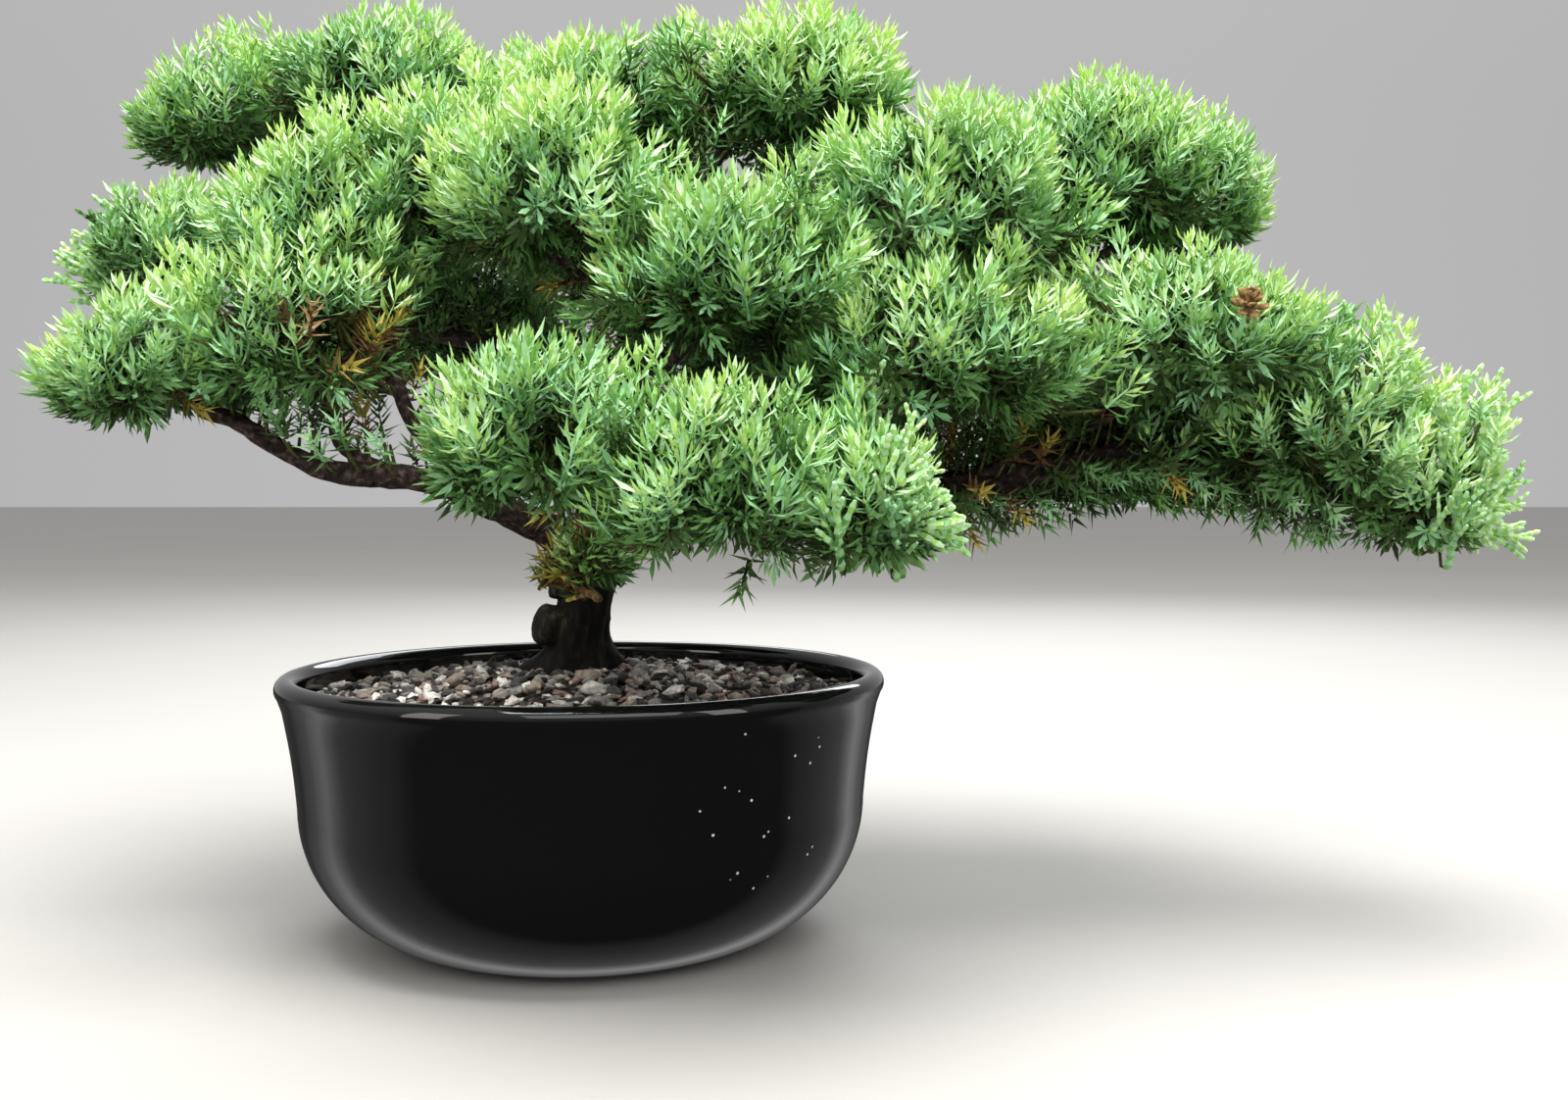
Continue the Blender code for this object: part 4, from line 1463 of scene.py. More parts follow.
@dataclass
class Crown:
    """All the pads' twigs and needles.

    Spacings, gaps, bases, radii and overhang are in metres. Reaches, bulge and wave are shares of a pad's
    half sizes.
    """

    limbs: Limbs
    finishes: Sequence[Material]
    shapes: ShootShapes
    cluster_spacing: float = 25 * MM
    shoot_spacing: float = 7.2 * MM
    inner_spacing: float = 12 * MM
    heart_reach: float = 0.40
    valley_reach: float = 0.76
    bulge: float = 0.26
    wave: float = 0.20
    furthest: float = 1.0
    overhang: float = 6.8 * MM
    side_spacing: float = 2.8 * MM
    skirt_reach: float = 0.90
    scales: tuple[float, ...] = (1.35, 1.2, 1.0, 0.9, 0.8, 0.7)
    inner_scales: int = 4
    valley_mouth: float = 1.20
    neighbour_slack: float = 0.03
    limb_gap: float = 2.2 * MM
    side_limb_gap: float = 2.5 * MM
    under_height: float = -0.30
    inner_share: float = 0.74
    cord_sunk: float = 0.8
    fork_shares: tuple[float, ...] = (0.55, 0.8, 1.0)
    stem_radius: float = 0.8 * MM
    fork_radii: tuple[float, float] = (0.9 * MM, 0.75 * MM)
    root_radius: float = 0.6 * MM
    twig_radii: tuple[float, float] = (0.5 * MM, 0.45 * MM)
    side_twig_radii: tuple[float, float] = (0.6 * MM, 0.45 * MM)
    under_base: float = 4 * MM
    side_base: float = 10 * MM
    skirt_base: float = 4 * MM
    dying_share: float = 0.5
    cluster_heights: tuple[float, float] = (0.97, -0.80)
    outer_heights: tuple[float, float] = (0.985, -0.86)
    inner_heights: tuple[float, float] = (0.95, -0.95)
    light_steps: tuple[float, float, float] = (0.55, 0.15, -0.3)
    twigs: MeshBuffer = field(default_factory=MeshBuffer)

    def build(self, twig: Material, young: Material) -> None:
        """Grows and shows every pad, and then the twigs under them.

        Args:
            twig: The older twigs' material.
            young: The young twigs' material.
        """
        scatter = Scatter("needle_scatter", self.shapes.build(self.finishes[0]), self.finishes)
        tree = scatter.tree()
        for name, pad in PADS.items():
            marks = self.grow(name, pad)
            show(scatter.run(f"needles_{name}", marks, tree), "juniper_needles", f"foliage_{name}")
        show(scatter.run("needles_along_boughs", self.along_boughs(), tree), "juniper_needles")
        show(self.twigs.build("twigs", (twig, young), smooth=True), "juniper_bark")

    def foot_of(self, name: str, pad: Pad) -> tuple[Vector, float]:
        """Finds where the pad's stem starts.

        Args:
            name: The pad's name.
            pad: The pad.

        Returns:
            The place and the radius.
        """
        trunk = self.limbs.lines["trunk"]
        if pad.bough:
            limb = self.limbs.lines[name]
            return limb.points[-1] - (limb.points[-1] - limb.points[-2]).normalized() * MM, limb.radii[-1]
        if name == "top_right":
            return trunk.points[-1] - UP * MM, trunk.radii[-1] * 0.95
        middle, _ = trunk.at(SPRIG_ALONG)
        return middle, BOUGH_TIP_RADIUS

    def settle(self, name: str, pad: Pad, share: Vector, outer: bool) -> Vector | None:
        """Finds where a shoot's tip can be: in a valley to a neighbour, or else further in until it is free.

        Args:
            name: The pad's name.
            pad: The pad.
            share: Where the tip would be, as shares of the pad.
            outer: Whether it may fill a valley.

        Returns:
            The tip, or None if no place is free.
        """
        for scale in self.scales if outer else self.scales[-self.inner_scales:]:
            tip = pad.world(share * scale)
            reach = pad.reach(tip)
            nearest = min(neighbour.reach(tip) for other, neighbour in PADS.items() if other != name)
            if scale > 1 and nearest > self.valley_mouth or nearest < reach - self.neighbour_slack:
                continue
            if all(limb.gap_to(tip) > self.limb_gap for limb in self.limbs.lines.values()):
                return tip
        return None

    @staticmethod
    def spread(count: int, top: float, bottom: float, rng: random.Random, loose: float) -> Iterator[Vector]:
        """A golden-angle spread of directions, each a little astray.

        Args:
            count: How many directions.
            top: The first one's height, as a sine.
            bottom: The last one's.
            rng: The pad's chance.
            loose: How far astray, in radians round the pad.

        Yields:
            Each direction.
        """
        for index in range(count):
            height = top - (top - bottom) * (index + 0.5) / count + rng.uniform(-loose, loose) * 0.3
            height = max(-0.99, min(0.99, height))
            turn = index * GOLDEN_ANGLE + rng.uniform(-loose, loose)
            level = math.sqrt(1 - height * height)
            yield Vector((level * math.cos(turn), level * math.sin(turn), height))

    def grow(self, name: str, pad: Pad) -> Marks:
        """Grows one pad from its bough's tip: a stem, forked twigs to clusters, and shoots from each.

        Args:
            name: The pad's name.
            pad: The pad.

        Returns:
            Its shoots, marked.
        """
        rng = random.Random("shoots " + name)
        heart = Vector(pad.centre)
        foot, foot_radius = self.foot_of(name, pad)
        self.twig(foot, heart, heart - foot, (foot_radius, self.stem_radius), 6, 0)
        count = max(8, round(pad.skin / self.cluster_spacing**2))
        clusters = list(self.spread(count, *self.cluster_heights, rng, 0.15))
        first_fork, later_fork = self.fork_radii
        forks = [(foot.lerp(heart, share), first_fork) for share in self.fork_shares]
        roots = []
        for direction in sorted(clusters, key=lambda way: (pad.world(way * self.heart_reach) - heart).length):
            root = pad.world(direction * self.heart_reach * pad.narrowing(direction) ** 2)
            start, radius = min(
                forks, key=lambda fork: (fork[0] - root).length + 0.4 * (fork[0] - heart).length
            )
            self.twig(start, root, root - start + UP * 4 * MM, (radius, self.root_radius), 4, 0)
            forks.append((start.lerp(root, 0.6), later_fork))
            roots.append((direction, root))
        marks = Marks()
        count = round(pad.skin / self.shoot_spacing**2)
        for direction in self.spread(count, *self.outer_heights, rng, 0.22):
            self.shoot(marks, name, pad, rng, direction, roots, outer=True)
        count = round(pad.skin / self.inner_spacing**2)
        for direction in self.spread(count, *self.inner_heights, rng, 0.3):
            self.shoot(marks, name, pad, rng, direction, roots, outer=False)
        return marks

    def shoot(
        self, marks: Marks, name: str, pad: Pad, rng: random.Random, direction: Vector, roots: list,
        outer: bool,
    ) -> None:
        """Adds one shoot, unless it would leave the pad's space or touch a limb.

        Args:
            marks: Where it is marked.
            name: The pad's name.
            pad: The pad.
            rng: The pad's chance.
            direction: Which way it lies from the heart, as shares of the pad.
            roots: Each cluster's direction and root.
            outer: Whether it is one of the skin, or an older one inside.
        """
        centre, root = max(roots, key=lambda item: item[0].dot(direction))
        spread = self.cluster_spacing / pad.mean_half * 0.62
        off = min(1.0, math.acos(min(1.0, centre.dot(direction))) / spread)
        wave = self.wave * noise.noise(pad.world(direction) * 46)
        reach = self.valley_reach + self.bulge * (1 - off * off) + wave + rng.uniform(-0.04, 0.04)
        reach = min(reach, self.furthest) * pad.narrowing(direction) - self.overhang / pad.mean_half
        below = direction.z < self.under_height
        if below and rng.random() < pad.bare:
            return
        if not outer:
            reach *= self.inner_share
        tip = self.settle(name, pad, direction * reach, outer)
        if tip is None:
            return
        lift = 0.15 if below else 0.95 - pad.hang * max(0.0, direction.x * pad.outward)
        astray = Vector((rng.gauss(0, 0.16), rng.gauss(0, 0.16), rng.gauss(0, 0.12)))
        way = ((tip - root).normalized() * 0.8 + UP * lift + astray).normalized()
        size = rng.uniform(0.82, 1.18)
        withered = next((spot for spot in WITHERED if spot.holds(tip)), None)
        if withered and rng.random() < withered.bare:
            return
        kind, tint = self.choose(pad, rng, direction, off, outer, withered is not None)
        cord = kind >= self.shapes.star_kinds + self.shapes.inner_kinds
        sunk = self.cord_sunk * self.shapes.cord_length if cord else self.shapes.star_length
        base = tip - way * sunk * size
        self.twig(root, base, way, self.twig_radii, 3, 1, 2)
        marks.add(base, way, rng.uniform(0, math.tau), size, kind, tint)

    def along_boughs(self) -> Marks:
        """Adds short shoots that the limbs carry inside the crown, straight on their bark, in painted-shade
        tints.

        Returns:
            The shoots, marked.
        """
        marks = Marks()
        for name, limb in self.limbs.lines.items():
            rng = random.Random("along " + name)
            bough = PADS[name].bough if name in PADS else TRUNK_SHOOTS
            fullness = (1 - bough.leafy) * (1 + bough.skirt) * bough.lush
            count = round(fullness * limb.length / self.side_spacing)
            for index in range(count):
                share = bough.leafy + (1 - bough.leafy) * (index + rng.random()) / count
                start, radius = limb.at(share)
                way = (limb.at(min(1.0, share + 0.02))[0] - limb.at(share - 0.02)[0]).normalized()
                turn = index * GOLDEN_ANGLE + rng.uniform(-0.4, 0.4)
                across = Matrix.Rotation(turn, 3, way) @ way.orthogonal()
                under = across.normalized().z < -0.25
                if under and rng.random() >= bough.skirt:
                    continue
                out = (across.normalized() + way * 0.35 + UP * (0.1 if under else 0.45)).normalized()
                size = rng.uniform(0.8, 1.05)
                furthest = self.under_base if under else self.side_base + self.skirt_base * bough.skirt
                base = start + out * (radius + rng.uniform(0, furthest))
                rise = UP * (0.0 if under else 0.5)
                tip = base + (out + rise).normalized() * self.shapes.star_length * size
                if under and min(pad.reach(tip) for pad in PADS.values()) > self.skirt_reach + bough.skirt:
                    continue
                others = (line for other, line in self.limbs.lines.items() if other != name)
                if any(line.gap_to(tip) < self.side_limb_gap for line in others):
                    continue
                self.twig(start, base, tip - base, self.side_twig_radii, 3, 1, 2)
                dying = any(spot.holds(tip) for spot in WITHERED)
                if dying and rng.random() < self.dying_share:
                    continue
                # Painted shade: living shoots here mostly take the dark DEEP and SHADE tints, and dying ones
                # mostly straw.
                shares = (1, 1, 1, 1, 6) if dying else (1, 2, 4, 3, 1)
                tint = rng.choices((Tint.LEAF, Tint.BLUE, Tint.DEEP, Tint.SHADE, Tint.STRAW), shares)[0]
                kind = self.shapes.star_kinds + rng.randrange(self.shapes.inner_kinds)
                marks.add(base, (tip - base).normalized(), rng.uniform(0, math.tau), size, kind, tint)
        return marks

    def choose(
        self, pad: Pad, rng: random.Random, direction: Vector, off: float, outer: bool, withered: bool
    ) -> tuple[int, int]:
        """Picks a shoot's shape and tint: painted light on top, bluer at the sides, painted shade below and
        inside.

        Args:
            pad: The pad.
            rng: The pad's chance.
            direction: Which way the shoot lies from the heart.
            off: How far it lies from its cluster's middle, from 0 to 1.
            outer: Whether it is one of the skin.
            withered: Whether it stands where shoots have died.

        Returns:
            The number of its shape, and its tint.
        """
        shapes = self.shapes
        if withered and rng.random() < 0.6:
            first = shapes.star_kinds + (shapes.inner_kinds if rng.random() < pad.cords else 0)
            return first + rng.randrange(shapes.inner_kinds), rng.choice(WITHERED_TINTS)
        # Painted shade: inner shoots take the dark tints.
        if not outer:
            return shapes.star_kinds + rng.randrange(shapes.inner_kinds), rng.choice(INNER_SHADE_TINTS)
        # Painted shade: shoots under the pad take the dark tints.
        if direction.z < self.under_height:
            return rng.randrange(shapes.star_kinds), rng.choice(UNDER_SHADE_TINTS)
        # Painted light and shade: shoots higher on the pad, nearer their cluster's middle and on pads with a
        # larger
        # fresh share take paler tints, and the rest darker ones.
        cloud = 0.9 * noise.noise(pad.world(direction) * 38)
        light = 0.74 * direction.z + 0.5 * (1 - off) + 0.5 * pad.fresh_and_lit - 0.26 + cloud + rng.gauss(0, 0.22)
        bright, fair, dim = self.light_steps
        if light > bright:
            tint = Tint.LIME if rng.random() < pad.fresh_and_lit else Tint.SPRING
        elif light > fair:
            tint = Tint.SPRING if rng.random() < 0.25 + 0.5 * pad.fresh_and_lit else Tint.LEAF
        elif light > dim:
            tint = Tint.LEAF if rng.random() < 0.55 else Tint.BLUE
        else:
            tint = Tint.BLUE if rng.random() < 0.45 else Tint.DEEP
        if rng.random() < pad.cords * (0.45 + 0.75 * direction.x * pad.outward):
            first = shapes.star_kinds + shapes.inner_kinds
            return first + rng.randrange(shapes.cord_kinds), max(tint, Tint.SPRING)
        return rng.randrange(shapes.star_kinds), tint

    def twig(
        self, start: Vector, end: Vector, arrive: Vector, radii: tuple[float, float], sides: int, slot: int,
        spans: int = 3,
    ) -> None:
        """Adds a bent twig.

        Args:
            start: Where it leaves what carries it.
            end: Where it ends.
            arrive: Which way it points there.
            radii: Its radius at its start and at its end.
            sides: Points round it.
            slot: Its material slot.
            spans: Straight stretches along it.
        """
        bend = end - arrive.normalized() * 0.45 * (end - start).length
        path = []
        for step in range(spans + 1):
            t = step / spans
            path.append(start * (1 - t) ** 2 + bend * 2 * t * (1 - t) + end * t * t)
        thick, thin = radii
        girths = [thick + (thin - thick) * step / spans for step in range(spans + 1)]
        points, faces = loft(path, girths, sides)
        self.twigs.add(points, faces, slot)


@dataclass
class DriedCone:
    """The small brown cone left from last year, its scales sprung open, on the right of the crown."""

    place: tuple = (0.1565, -0.0405, 0.1530)
    axis: tuple = (-0.15, -0.75, 0.65)
    radius: float = 4.2 * MM
    rows: tuple[tuple[int, float, float], ...] = ((6, 86, 1.0), (5, 58, 0.95), (4, 26, 0.85))
    seed: int = 9

    def build(self, finish: Material) -> Object:
        """Makes the cone: rows of flat woody scales that stand out from a short core, on a stalk.

        Args:
            finish: Its material.

        Returns:
            The piece.
        """
        rng = random.Random(self.seed)
        buffer = MeshBuffer()
        foot, axis = Vector(self.place), Vector(self.axis).normalized()
        path = [foot - axis * 5 * MM, foot, foot + axis * 0.6 * self.radius]
        buffer.add(*loft(path, (0.5 * MM, 0.7 * MM, 0.9 * MM), 8))
        across = axis.orthogonal().normalized()
        for row, (count, lean, share) in enumerate(self.rows):
            for index in range(count):
                turn = math.tau * (index + 0.5 * row) / count + rng.uniform(-0.2, 0.2)
                out = Matrix.Rotation(turn, 3, axis) @ across
                tilt = math.radians(lean + rng.uniform(-8, 8))
                way = out * math.sin(tilt) + axis * math.cos(tilt)
                start = foot + axis * 0.2 * row * self.radius
                self.scale(buffer, start, way, axis.cross(out), share * self.radius)
        return buffer.build("dried_cone", (finish,), smooth=True)

    @staticmethod
    def scale(buffer: MeshBuffer, foot: Vector, way: Vector, side: Vector, reach: float) -> None:
        """Adds one scale: a flattened, round-ended blade that thickens and curls back at its tip.

        Args:
            buffer: Where it goes.
            foot: Where it starts.
            way: Which way it points.
            side: Across its width.
            reach: Its length.
        """
        shares = ((0.0, 0.12), (0.35, 0.20), (0.72, 0.30), (0.93, 0.24), (1.0, 0.08))
        flat = way.cross(side).normalized()
        path = [foot + way * reach * along + flat * 0.22 * reach * along**3 for along, _ in shares]
        points, faces = loft(path, [reach * girth for _, girth in shares], 8)
        middles = np.repeat(np.array([tuple(point) for point in path]), 8, axis=0)
        thin = np.array(flat)
        points = points - np.outer((points - middles) @ thin, thin) * 0.68
        buffer.add(points, faces)


@dataclass
class Bowl:
    """The round bowl, turned from the part's own profile with its curves made fine.

    The rolled rim starts at rim_from degrees and goes on by rim_turn degrees a step.
    """

    height: float = 0.066
    foot_radius: float = 0.0445
    belly_radius: float = 0.0708
    belly_height: float = 0.034
    neck_radius: float = 0.0742
    neck_height: float = 0.058
    rim_radius: float = 0.076
    rim_tube: float = 0.0029
    wall: float = 0.0052
    floor: float = 0.006
    floor_curve: float = 0.005
    floor_past_foot: float = 0.002
    foot_round: float = 0.0008
    drain_radius: float = 0.004
    drain_circle: float = 0.022
    drain_count: int = 3
    steps: int = 144
    wall_steps: int = 10
    belly_steps: int = 22
    rim_steps: int = 17
    wall_hollow: float = 0.0004
    rim_from: float = 200
    rim_turn: float = 15

    def outside(self) -> list[tuple[float, float]]:
        """The outer side as (radius, height), from the neck down to the foot.

        Returns:
            Its points.
        """
        run = self.belly_radius - self.foot_radius
        arc = (run**2 + self.belly_height**2) / (2 * run)
        middle = self.belly_radius - arc
        end = math.asin(self.belly_height / arc)
        wall = []
        for step in range(self.wall_steps):
            share = step / self.wall_steps
            radius = self.neck_radius + (self.belly_radius - self.neck_radius) * share
            height = self.neck_height + (self.belly_height - self.neck_height) * share
            wall.append((radius - self.wall_hollow * math.sin(math.pi * share), height))
        belly = []
        for step in range(self.belly_steps):
            turn = end * step / self.belly_steps
            belly.append((middle + arc * math.cos(turn), self.belly_height - arc * math.sin(turn)))
        foot = [
            (self.foot_radius, self.foot_round),
            (self.foot_radius - 0.3 * self.foot_round, 0.3 * self.foot_round),
            (self.foot_radius - self.foot_round, 0.0),
        ]
        return wall + belly + foot

    def profile(self) -> list[tuple[float, float]]:
        """The profile: up the inside, over the rolled rim, down the outside to the middle.

        Returns:
            Its points.
        """
        lowest = self.floor + self.floor_curve
        above = [(radius, height) for radius, height in self.outside() if height > lowest]
        inside = [(radius - self.wall, height) for radius, height in reversed(above)]
        rim = []
        for step in range(self.rim_steps):
            turn = math.radians(self.rim_from - self.rim_turn * step)
            rim.append(
                (self.rim_radius - self.rim_tube + self.rim_tube * math.cos(turn),
                 self.height - self.rim_tube + self.rim_tube * math.sin(turn))
            )
        floor = [(0.0, self.floor), (self.foot_radius + self.floor_past_foot, self.floor)]
        return floor + inside + rim + self.outside() + [(0.0, 0.0)]

    def build(self, glaze: Material) -> Object:
        """Turns the profile, drills the drain holes and gives the result its glaze.

        Args:
            glaze: Its material.

        Returns:
            The piece.
        """
        profile = self.profile()
        mesh = bpy.data.meshes.new("bowl_profile")
        edges = [(index, index + 1) for index in range(len(profile) - 1)]
        mesh.from_pydata([(radius, 0, height) for radius, height in profile], edges, [])
        blank = bpy.data.objects.new("bowl_profile", mesh)
        bpy.context.scene.collection.objects.link(blank)
        turn = blank.modifiers.new("turn", "SCREW")
        turn.steps = turn.render_steps = self.steps
        turn.use_merge_vertices = True
        turn.merge_threshold = 0.00001
        drills = bpy.data.collections.new("drills")
        for index in range(self.drain_count):
            drills.objects.link(self.drill(index))
        bore = blank.modifiers.new("drains", "BOOLEAN")
        bore.operation, bore.operand_type, bore.solver = "DIFFERENCE", "COLLECTION", "EXACT"
        bore.collection = drills
        bpy.context.view_layer.update()
        made = bpy.data.meshes.new_from_object(blank.evaluated_get(bpy.context.evaluated_depsgraph_get()))
        bpy.data.objects.remove(blank, do_unlink=True)
        for drill in list(drills.objects):
            bpy.data.objects.remove(drill, do_unlink=True)
        made.name = "glazed_bowl"
        made.materials.clear()
        made.materials.append(glaze)
        made.polygons.foreach_set("use_smooth", [True] * len(made.polygons))
        made.set_sharp_from_angle(angle=math.radians(50))
        return bpy.data.objects.new("glazed_bowl", made)

    def drill(self, index: int) -> Object:
        """A cylinder for one drain hole.

        Args:
            index: Which hole it is.

        Returns:
            The cylinder.
        """
        bm = bmesh.new()
        radius = self.drain_radius
        depth = 3 * self.floor
        bmesh.ops.create_cone(bm, cap_ends=True, segments=32, radius1=radius, radius2=radius, depth=depth)
        turn = math.tau * (index + 0.25) / self.drain_count
        place = (self.drain_circle * math.cos(turn), self.drain_circle * math.sin(turn), self.floor / 2)
        bmesh.ops.translate(bm, verts=bm.verts, vec=place)
        return solid_of(f"drill_{index}", bm)


GRIT_COLOURS = (
    ("grit_pale", (222, 218, 210)),
    ("grit_grey", (144, 141, 137)),
    ("grit_tan", (156, 144, 130)),
    ("grit_rose", (148, 122, 112)),
    ("grit_slate", (74, 72, 72)),
    ("grit_dark", (36, 33, 31)),
    ("bark_chip", (58, 44, 36)),
)


@dataclass
class Grit:
    """The loose stones and bark chips on the soil."""

    soil_top: float = 0.065
    soil_edge: float = 0.0595
    flat_radius: float = 0.019
    edge_radius: float = 0.0682
    stones: int = 2500
    stone: float = 3.2 * MM
    chips: int = 160
    trunk_foot: tuple = (-0.005, 0.004)
    trunk_clear: float = 9.5 * MM
    edge_clear: float = 1.2 * MM
    astray: float = 1.2 * MM
    chip_radii: tuple[float, float] = (0.016, 0.062)
    heap: float = 0.5 * MM
    kind_weights: tuple[int, ...] = (16, 22, 16, 8, 18, 20)
    pebble_share: float = 0.025
    pebble_extra: float = 0.75
    kinds: int = 6
    seed: int = 23

    def surface(self, radius: float) -> float:
        """The soil's height at this distance from the bowl's middle."""
        share = min(1.0, max(0.0, (radius - self.flat_radius) / (self.edge_radius - self.flat_radius)))
        return self.soil_top - (self.soil_top - self.soil_edge) * math.sin(share * math.pi / 2) ** 1.4

    def shapes(self, first: Material) -> Collection:
        """Worn stones of unlike forms, and one flat splintered chip.

        Args:
            first: A material to start their slots with.

        Returns:
            Their collection.
        """
        rng = random.Random(self.seed)
        shapes = bpy.data.collections.new("grit_shapes")
        for index in range(self.kinds + 1):
            bm = bmesh.new()
            bmesh.ops.create_icosphere(bm, subdivisions=1, radius=0.5)
            flat = Vector((1.15, rng.uniform(0.58, 0.86), rng.uniform(0.38, 0.62)))
            if index == self.kinds:
                flat = Vector((2.4, 0.62, 0.34))
            shift = Vector((index * 3.1, 0, 0))
            for vert in bm.verts:
                vert.co *= 1 + 0.45 * noise.noise(vert.co * 2.3 + shift)
                vert.co = Vector(a * b for a, b in zip(vert.co, flat))
            stone = solid_of(f"stone_{index:02d}", bm, first)
            stone.data.polygons.foreach_set("use_smooth", [index % 2 == 0] * len(stone.data.polygons))
            shapes.objects.link(stone)
        return shapes

    def build(self, finishes: Sequence[Material]) -> Object:
        """Scatters the stones in a loose double layer that leaves the trunk's foot clear.

        Args:
            finishes: The materials of each kind of stone, and last of the chips.

        Returns:
            The piece.
        """
        rng = random.Random(self.seed + 1)
        doubled = [finish for finish in finishes for _ in range(2)]
        scatter = Scatter("grit_scatter", self.shapes(finishes[0]), doubled, self.stone, 0.12, self.seed)
        marks = Marks()
        weights = self.kind_weights
        for index in range(self.stones + self.chips):
            chip = index >= self.stones
            radius = self.edge_radius * math.sqrt((index + 0.5) / self.stones) if not chip else 0.0
            turn = index * GOLDEN_ANGLE + rng.uniform(-0.5, 0.5)
            radius = min(self.edge_radius - self.edge_clear, radius + rng.uniform(-1, 1) * self.astray)
            if chip:
                radius = rng.uniform(*self.chip_radii)
            place = Vector((radius * math.cos(turn), radius * math.sin(turn), 0))
            from_trunk = place.xy - Vector(self.trunk_foot)
            flare = Limbs.flare(math.atan2(from_trunk.y, from_trunk.x), MM)
            if from_trunk.length < self.trunk_clear + flare * 0.8:
                continue
            heap = self.heap * noise.noise(place * 90)
            place.z = self.surface(radius) + heap + rng.uniform(-0.2, 1.0) * MM
            tilt = Vector((rng.gauss(0, 0.45), rng.gauss(0, 0.45), 1)).normalized()
            size = 0.55 + 0.95 * rng.random() ** 1.8
            size += self.pebble_extra if rng.random() < self.pebble_share else 0.0
            kind = self.kinds if chip else rng.randrange(self.kinds)
            tint = len(weights) if chip else rng.choices(range(len(weights)), weights)[0]
            marks.add(place, tilt, rng.uniform(0, math.tau), size * (0.9 if chip else 1.0), kind, tint)
        return scatter.run("grit", marks, scatter.tree())


# Greys of the air above the floor, by its height or how far back it is, and of what the glaze mirrors below,
# by a slope that runs back, up and to the left. The two blend between the heights in AIR_BLEND.
AIR_ABOVE = ((0.0, 0.15), (0.40, 0.50), (0.75, 0.80))
AIR_BACK_SHARE = 0.4
AIR_ROUNDING = 0.3
AIR_BELOW = ((0.0, 0.02), (0.34, 0.03), (0.42, 0.20), (0.66, 0.36), (0.76, 0.85), (0.84, 0.28), (0.92, 0.06))
MIRROR_SLOPE = (-0.125, 0.5, 0.12)
MIRROR_MIDDLE = 0.5
AIR_BLEND = (-0.06, -0.03)


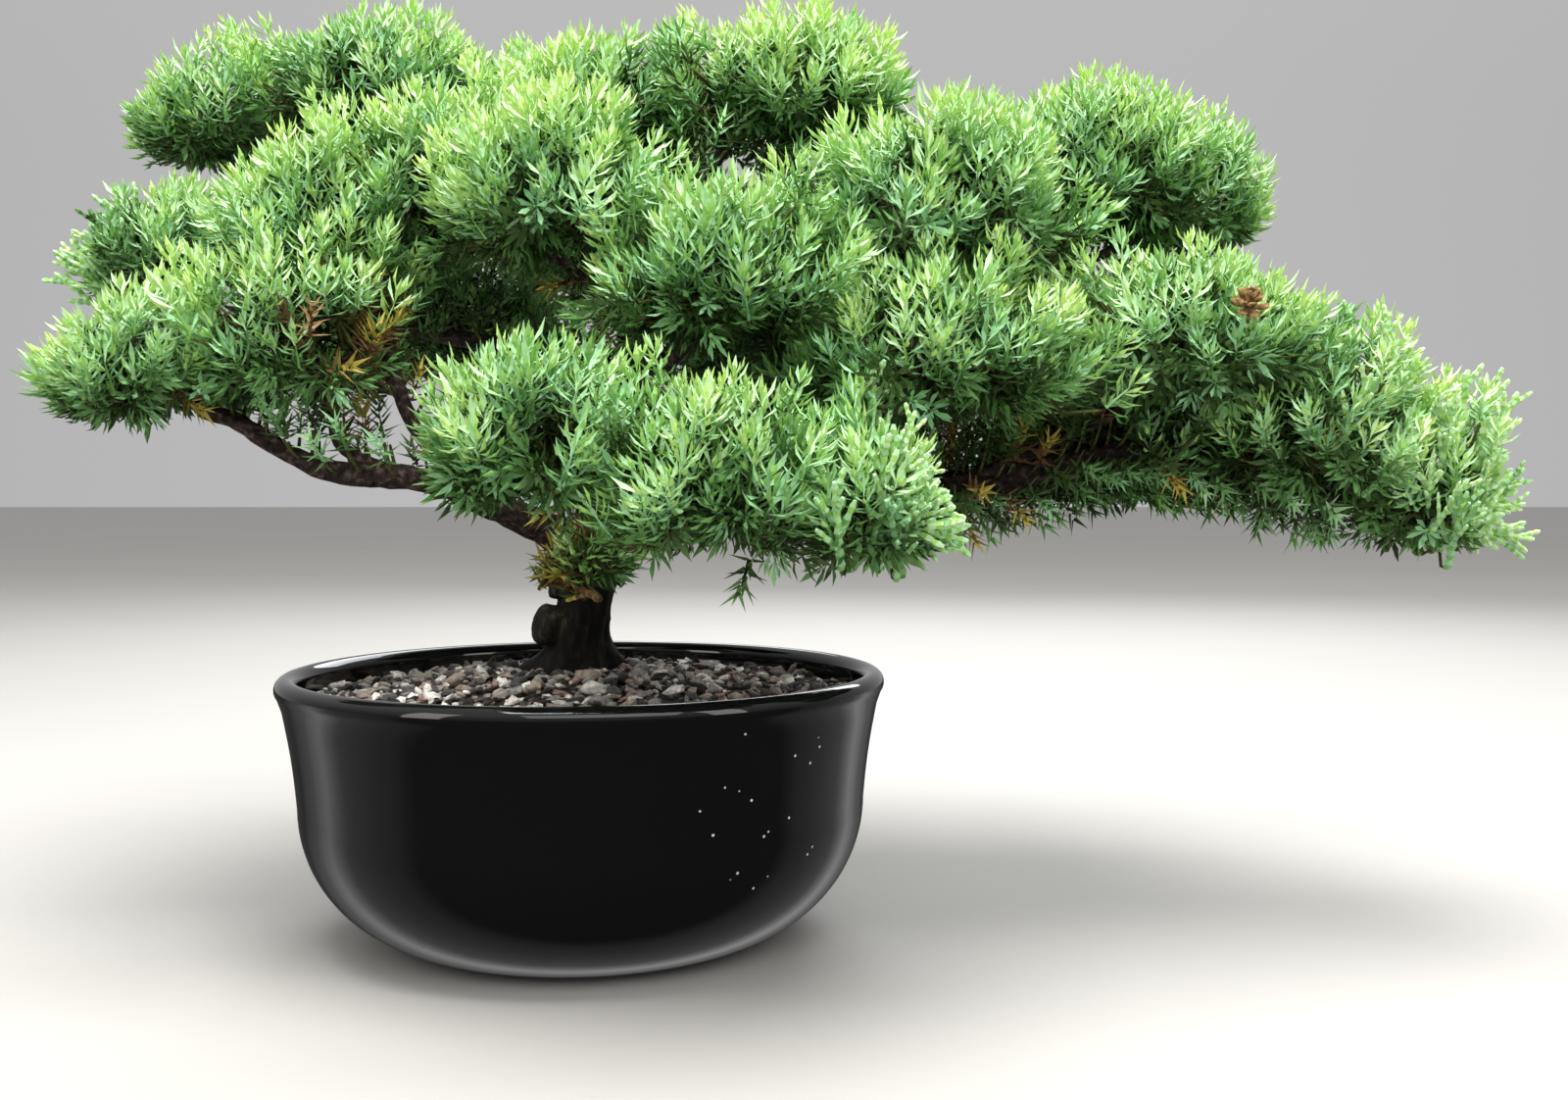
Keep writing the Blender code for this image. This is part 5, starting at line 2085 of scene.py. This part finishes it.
@dataclass
class Studio:
    """The pale floor, the soft lights and the camera at the photo's place."""

    lens: float = 36.0
    sensor: float = 36.0
    nearest: float = 0.01
    camera_place: tuple = (0.0506, -0.399, 0.1106)
    pitch_down: float = 2.08
    floor_half: float = 12.0
    floor_drop: float = 0.0002

    def build(self) -> None:
        """Sets up everything that isn't the object."""
        bpy.context.scene.view_settings.view_transform = "Standard"
        self.camera()
        self.floor()
        world = bpy.data.worlds.new("studio_air")
        bpy.context.scene.world = world
        world.use_nodes = True
        self.air(world.node_tree)
        self.light("top_light", (0.04, -0.13, 1.20), (0.04, 0.02, 0.16), (0.8, 0.8), 27.5, (1.0, 0.99, 0.96))
        self.light("front_light", (0.28, -1.06, 0.95), (0.06, 0.0, 0.14), (1.3, 0.6), 6.8, (1.0, 1.0, 0.98))
        self.light("left_box", (-0.75, -0.62, 0.42), (0.0, 0.0, 0.08), (0.28, 0.7), 2.6, (1.0, 0.94, 0.88))
        self.light("right_box", (0.80, -0.50, 0.40), (0.0, 0.0, 0.08), (0.24, 0.6), 1.8, (1.0, 0.95, 0.90))
        self.light("back_light", (0.25, 0.95, 0.75), (0.03, 0.0, 0.15), (0.8, 0.5), 8.0, (0.95, 0.98, 1.0))

    @staticmethod
    def air(tree: NodeTree) -> None:
        """Lights the air: pale above the floor, and dark under it, where only the glaze's mirror looks.

        Args:
            tree: The world's node tree.
        """
        add, join = tree.nodes.new, tree.links.new
        where, split = add("ShaderNodeTexCoord"), add("ShaderNodeSeparateXYZ")
        join(where.outputs["Generated"], split.inputs["Vector"])
        back = reckon(tree, "MULTIPLY", split.outputs["Y"], AIR_BACK_SHARE)
        lift = reckon(tree, "SMOOTH_MAX", back, split.outputs["Z"], AIR_ROUNDING)
        across = add("ShaderNodeVectorMath")
        across.operation = "DOT_PRODUCT"
        across.inputs[1].default_value = MIRROR_SLOPE
        join(where.outputs["Generated"], across.inputs[0])
        middle = reckon(tree, "ADD", across.outputs["Value"], MIRROR_MIDDLE)
        shades = []
        for value, stops in ((lift, AIR_ABOVE), (middle, AIR_BELOW)):
            ramp = add("ShaderNodeValToRGB")
            fill_ramp(ramp, [(share, (grey, grey, grey)) for share, grey in stops])
            join(value, ramp.inputs["Fac"])
            shades.append(ramp.outputs["Color"])
        side, mix = add("ShaderNodeMapRange"), add("ShaderNodeMix")
        side.inputs["From Min"].default_value, side.inputs["From Max"].default_value = AIR_BLEND
        join(split.outputs["Z"], side.inputs["Value"])
        mix.data_type = "RGBA"
        join(side.outputs["Result"], mix.inputs["Factor"])
        for shade, key in zip(reversed(shades), ("A", "B")):
            join(shade, next(socket for socket in mix.inputs if socket.name == key and socket.type == "RGBA"))
        mixed = next(socket for socket in mix.outputs if socket.type == "RGBA")
        join(mixed, tree.nodes["Background"].inputs["Color"])

    def camera(self) -> None:
        """A camera in front, higher than the bowl's rim, that looks slightly down."""
        lens = bpy.data.cameras.new("front_camera")
        lens.lens = self.lens
        lens.sensor_width = self.sensor
        lens.clip_start = self.nearest
        holder = bpy.data.objects.new("front_camera", lens)
        holder.location = self.camera_place
        holder.rotation_euler = (math.radians(90 - self.pitch_down), 0, 0)
        bpy.context.scene.collection.objects.link(holder)
        bpy.context.scene.camera = holder

    def floor(self) -> None:
        """A wide pale floor under the bowl. The glaze mirrors the dark air under it in its place."""
        bm = bmesh.new()
        bmesh.ops.create_grid(bm, x_segments=2, y_segments=2, size=self.floor_half)
        ground = solid_of("studio_floor", bm, FloorFinish().build())
        ground.location.z = -self.floor_drop
        ground.visible_glossy = False
        bpy.context.scene.collection.objects.link(ground)
        ground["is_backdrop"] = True

    def light(
        self, name: str, place: tuple, target: tuple, size: tuple[float, float], watts: float, colour: tuple
    ) -> None:
        """Adds one soft box that faces its target.

        Args:
            name: The lamp's name.
            place: Where it hangs.
            target: What it faces.
            size: Its width and height.
            watts: Its power.
            colour: Its linear colour.
        """
        lamp = bpy.data.lights.new(name, "AREA")
        lamp.shape = "RECTANGLE"
        lamp.size, lamp.size_y = size
        lamp.energy = watts
        lamp.color = colour
        holder = bpy.data.objects.new(name, lamp)
        holder.location = place
        holder.rotation_euler = (Vector(target) - Vector(place)).to_track_quat("-Z", "Y").to_euler()
        bpy.context.scene.collection.objects.link(holder)


def needle_finishes() -> list[Material]:
    """The needles' materials in Scatter's order: each tint's under side, then its upper.

    Returns:
        The materials.
    """
    made: dict[Tint, list[Material]] = {}
    for tint, (under, upper) in NEEDLE_COLOURS.items():
        plain = tint.name.lower()
        sides = (("under", under), ("upper", upper))
        made[tint] = [NeedleFinish(f"needle_{plain}_{side}", colour).build() for side, colour in sides]
    made[Tint.SHADE_AGAIN] = made[Tint.SHADE_LAST] = made[Tint.SHADE]
    made[Tint.DEAD_AGAIN] = made[Tint.DEAD_LAST] = made[Tint.DEAD]
    return [material for tint in Tint for material in made[tint]]


def main() -> None:
    """Builds the studio and every piece of the bonsai in order."""
    logging.basicConfig(level=logging.INFO, format="%(name)s %(message)s")
    Studio().build()
    limbs = Limbs()
    limbs.grow()
    # The trunk's and the healed stubs' greys are darkened past their own as painted shade from the crown
    # above.
    trunk_finish = BarkFinish("trunk_bark_strips_and_shade").build()
    stub_finish = BarkFinish("stub_cut_and_shade", (13, 13, 10), (33, 33, 25), (74, 72, 57)).build()
    even = (1.0, 1.0, 1.0)
    bough_finish = BarkFinish("bough_bark_strips", (15, 12, 11), (50, 39, 36), (96, 81, 73), even).build()
    show(limbs.trunk_bark(trunk_finish, stub_finish), "juniper_bark", "trunk")
    boughs = [f"bough_{name}" for name in limbs.lines if name != "trunk"]
    show(limbs.bough_bark(bough_finish), "juniper_bark", *boughs)
    young = BarkFinish("young_twig", (40, 44, 22), (72, 78, 36), (108, 98, 56), even).build()
    Crown(limbs, needle_finishes(), ShootShapes()).build(bough_finish, young)
    cone = BarkFinish("cone_wood", (50, 37, 21), (132, 104, 62), (204, 174, 122), even).build()
    show(DriedCone().build(cone), "juniper_bark")
    show(Bowl().build(GlazeFinish().build()), "black_glaze", "bowl")
    soil = frame["nodes"]["soil"]
    soil.data.materials.clear()
    soil.data.materials.append(EarthFinish().build())
    show(Grit().build([GritFinish(name, colour).build() for name, colour in GRIT_COLOURS]), "gravel_soil")
    boxes = [[list(corner) for corner in box] for box in (CAD_BOX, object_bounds())]


if __name__ == "__main__":
    main()
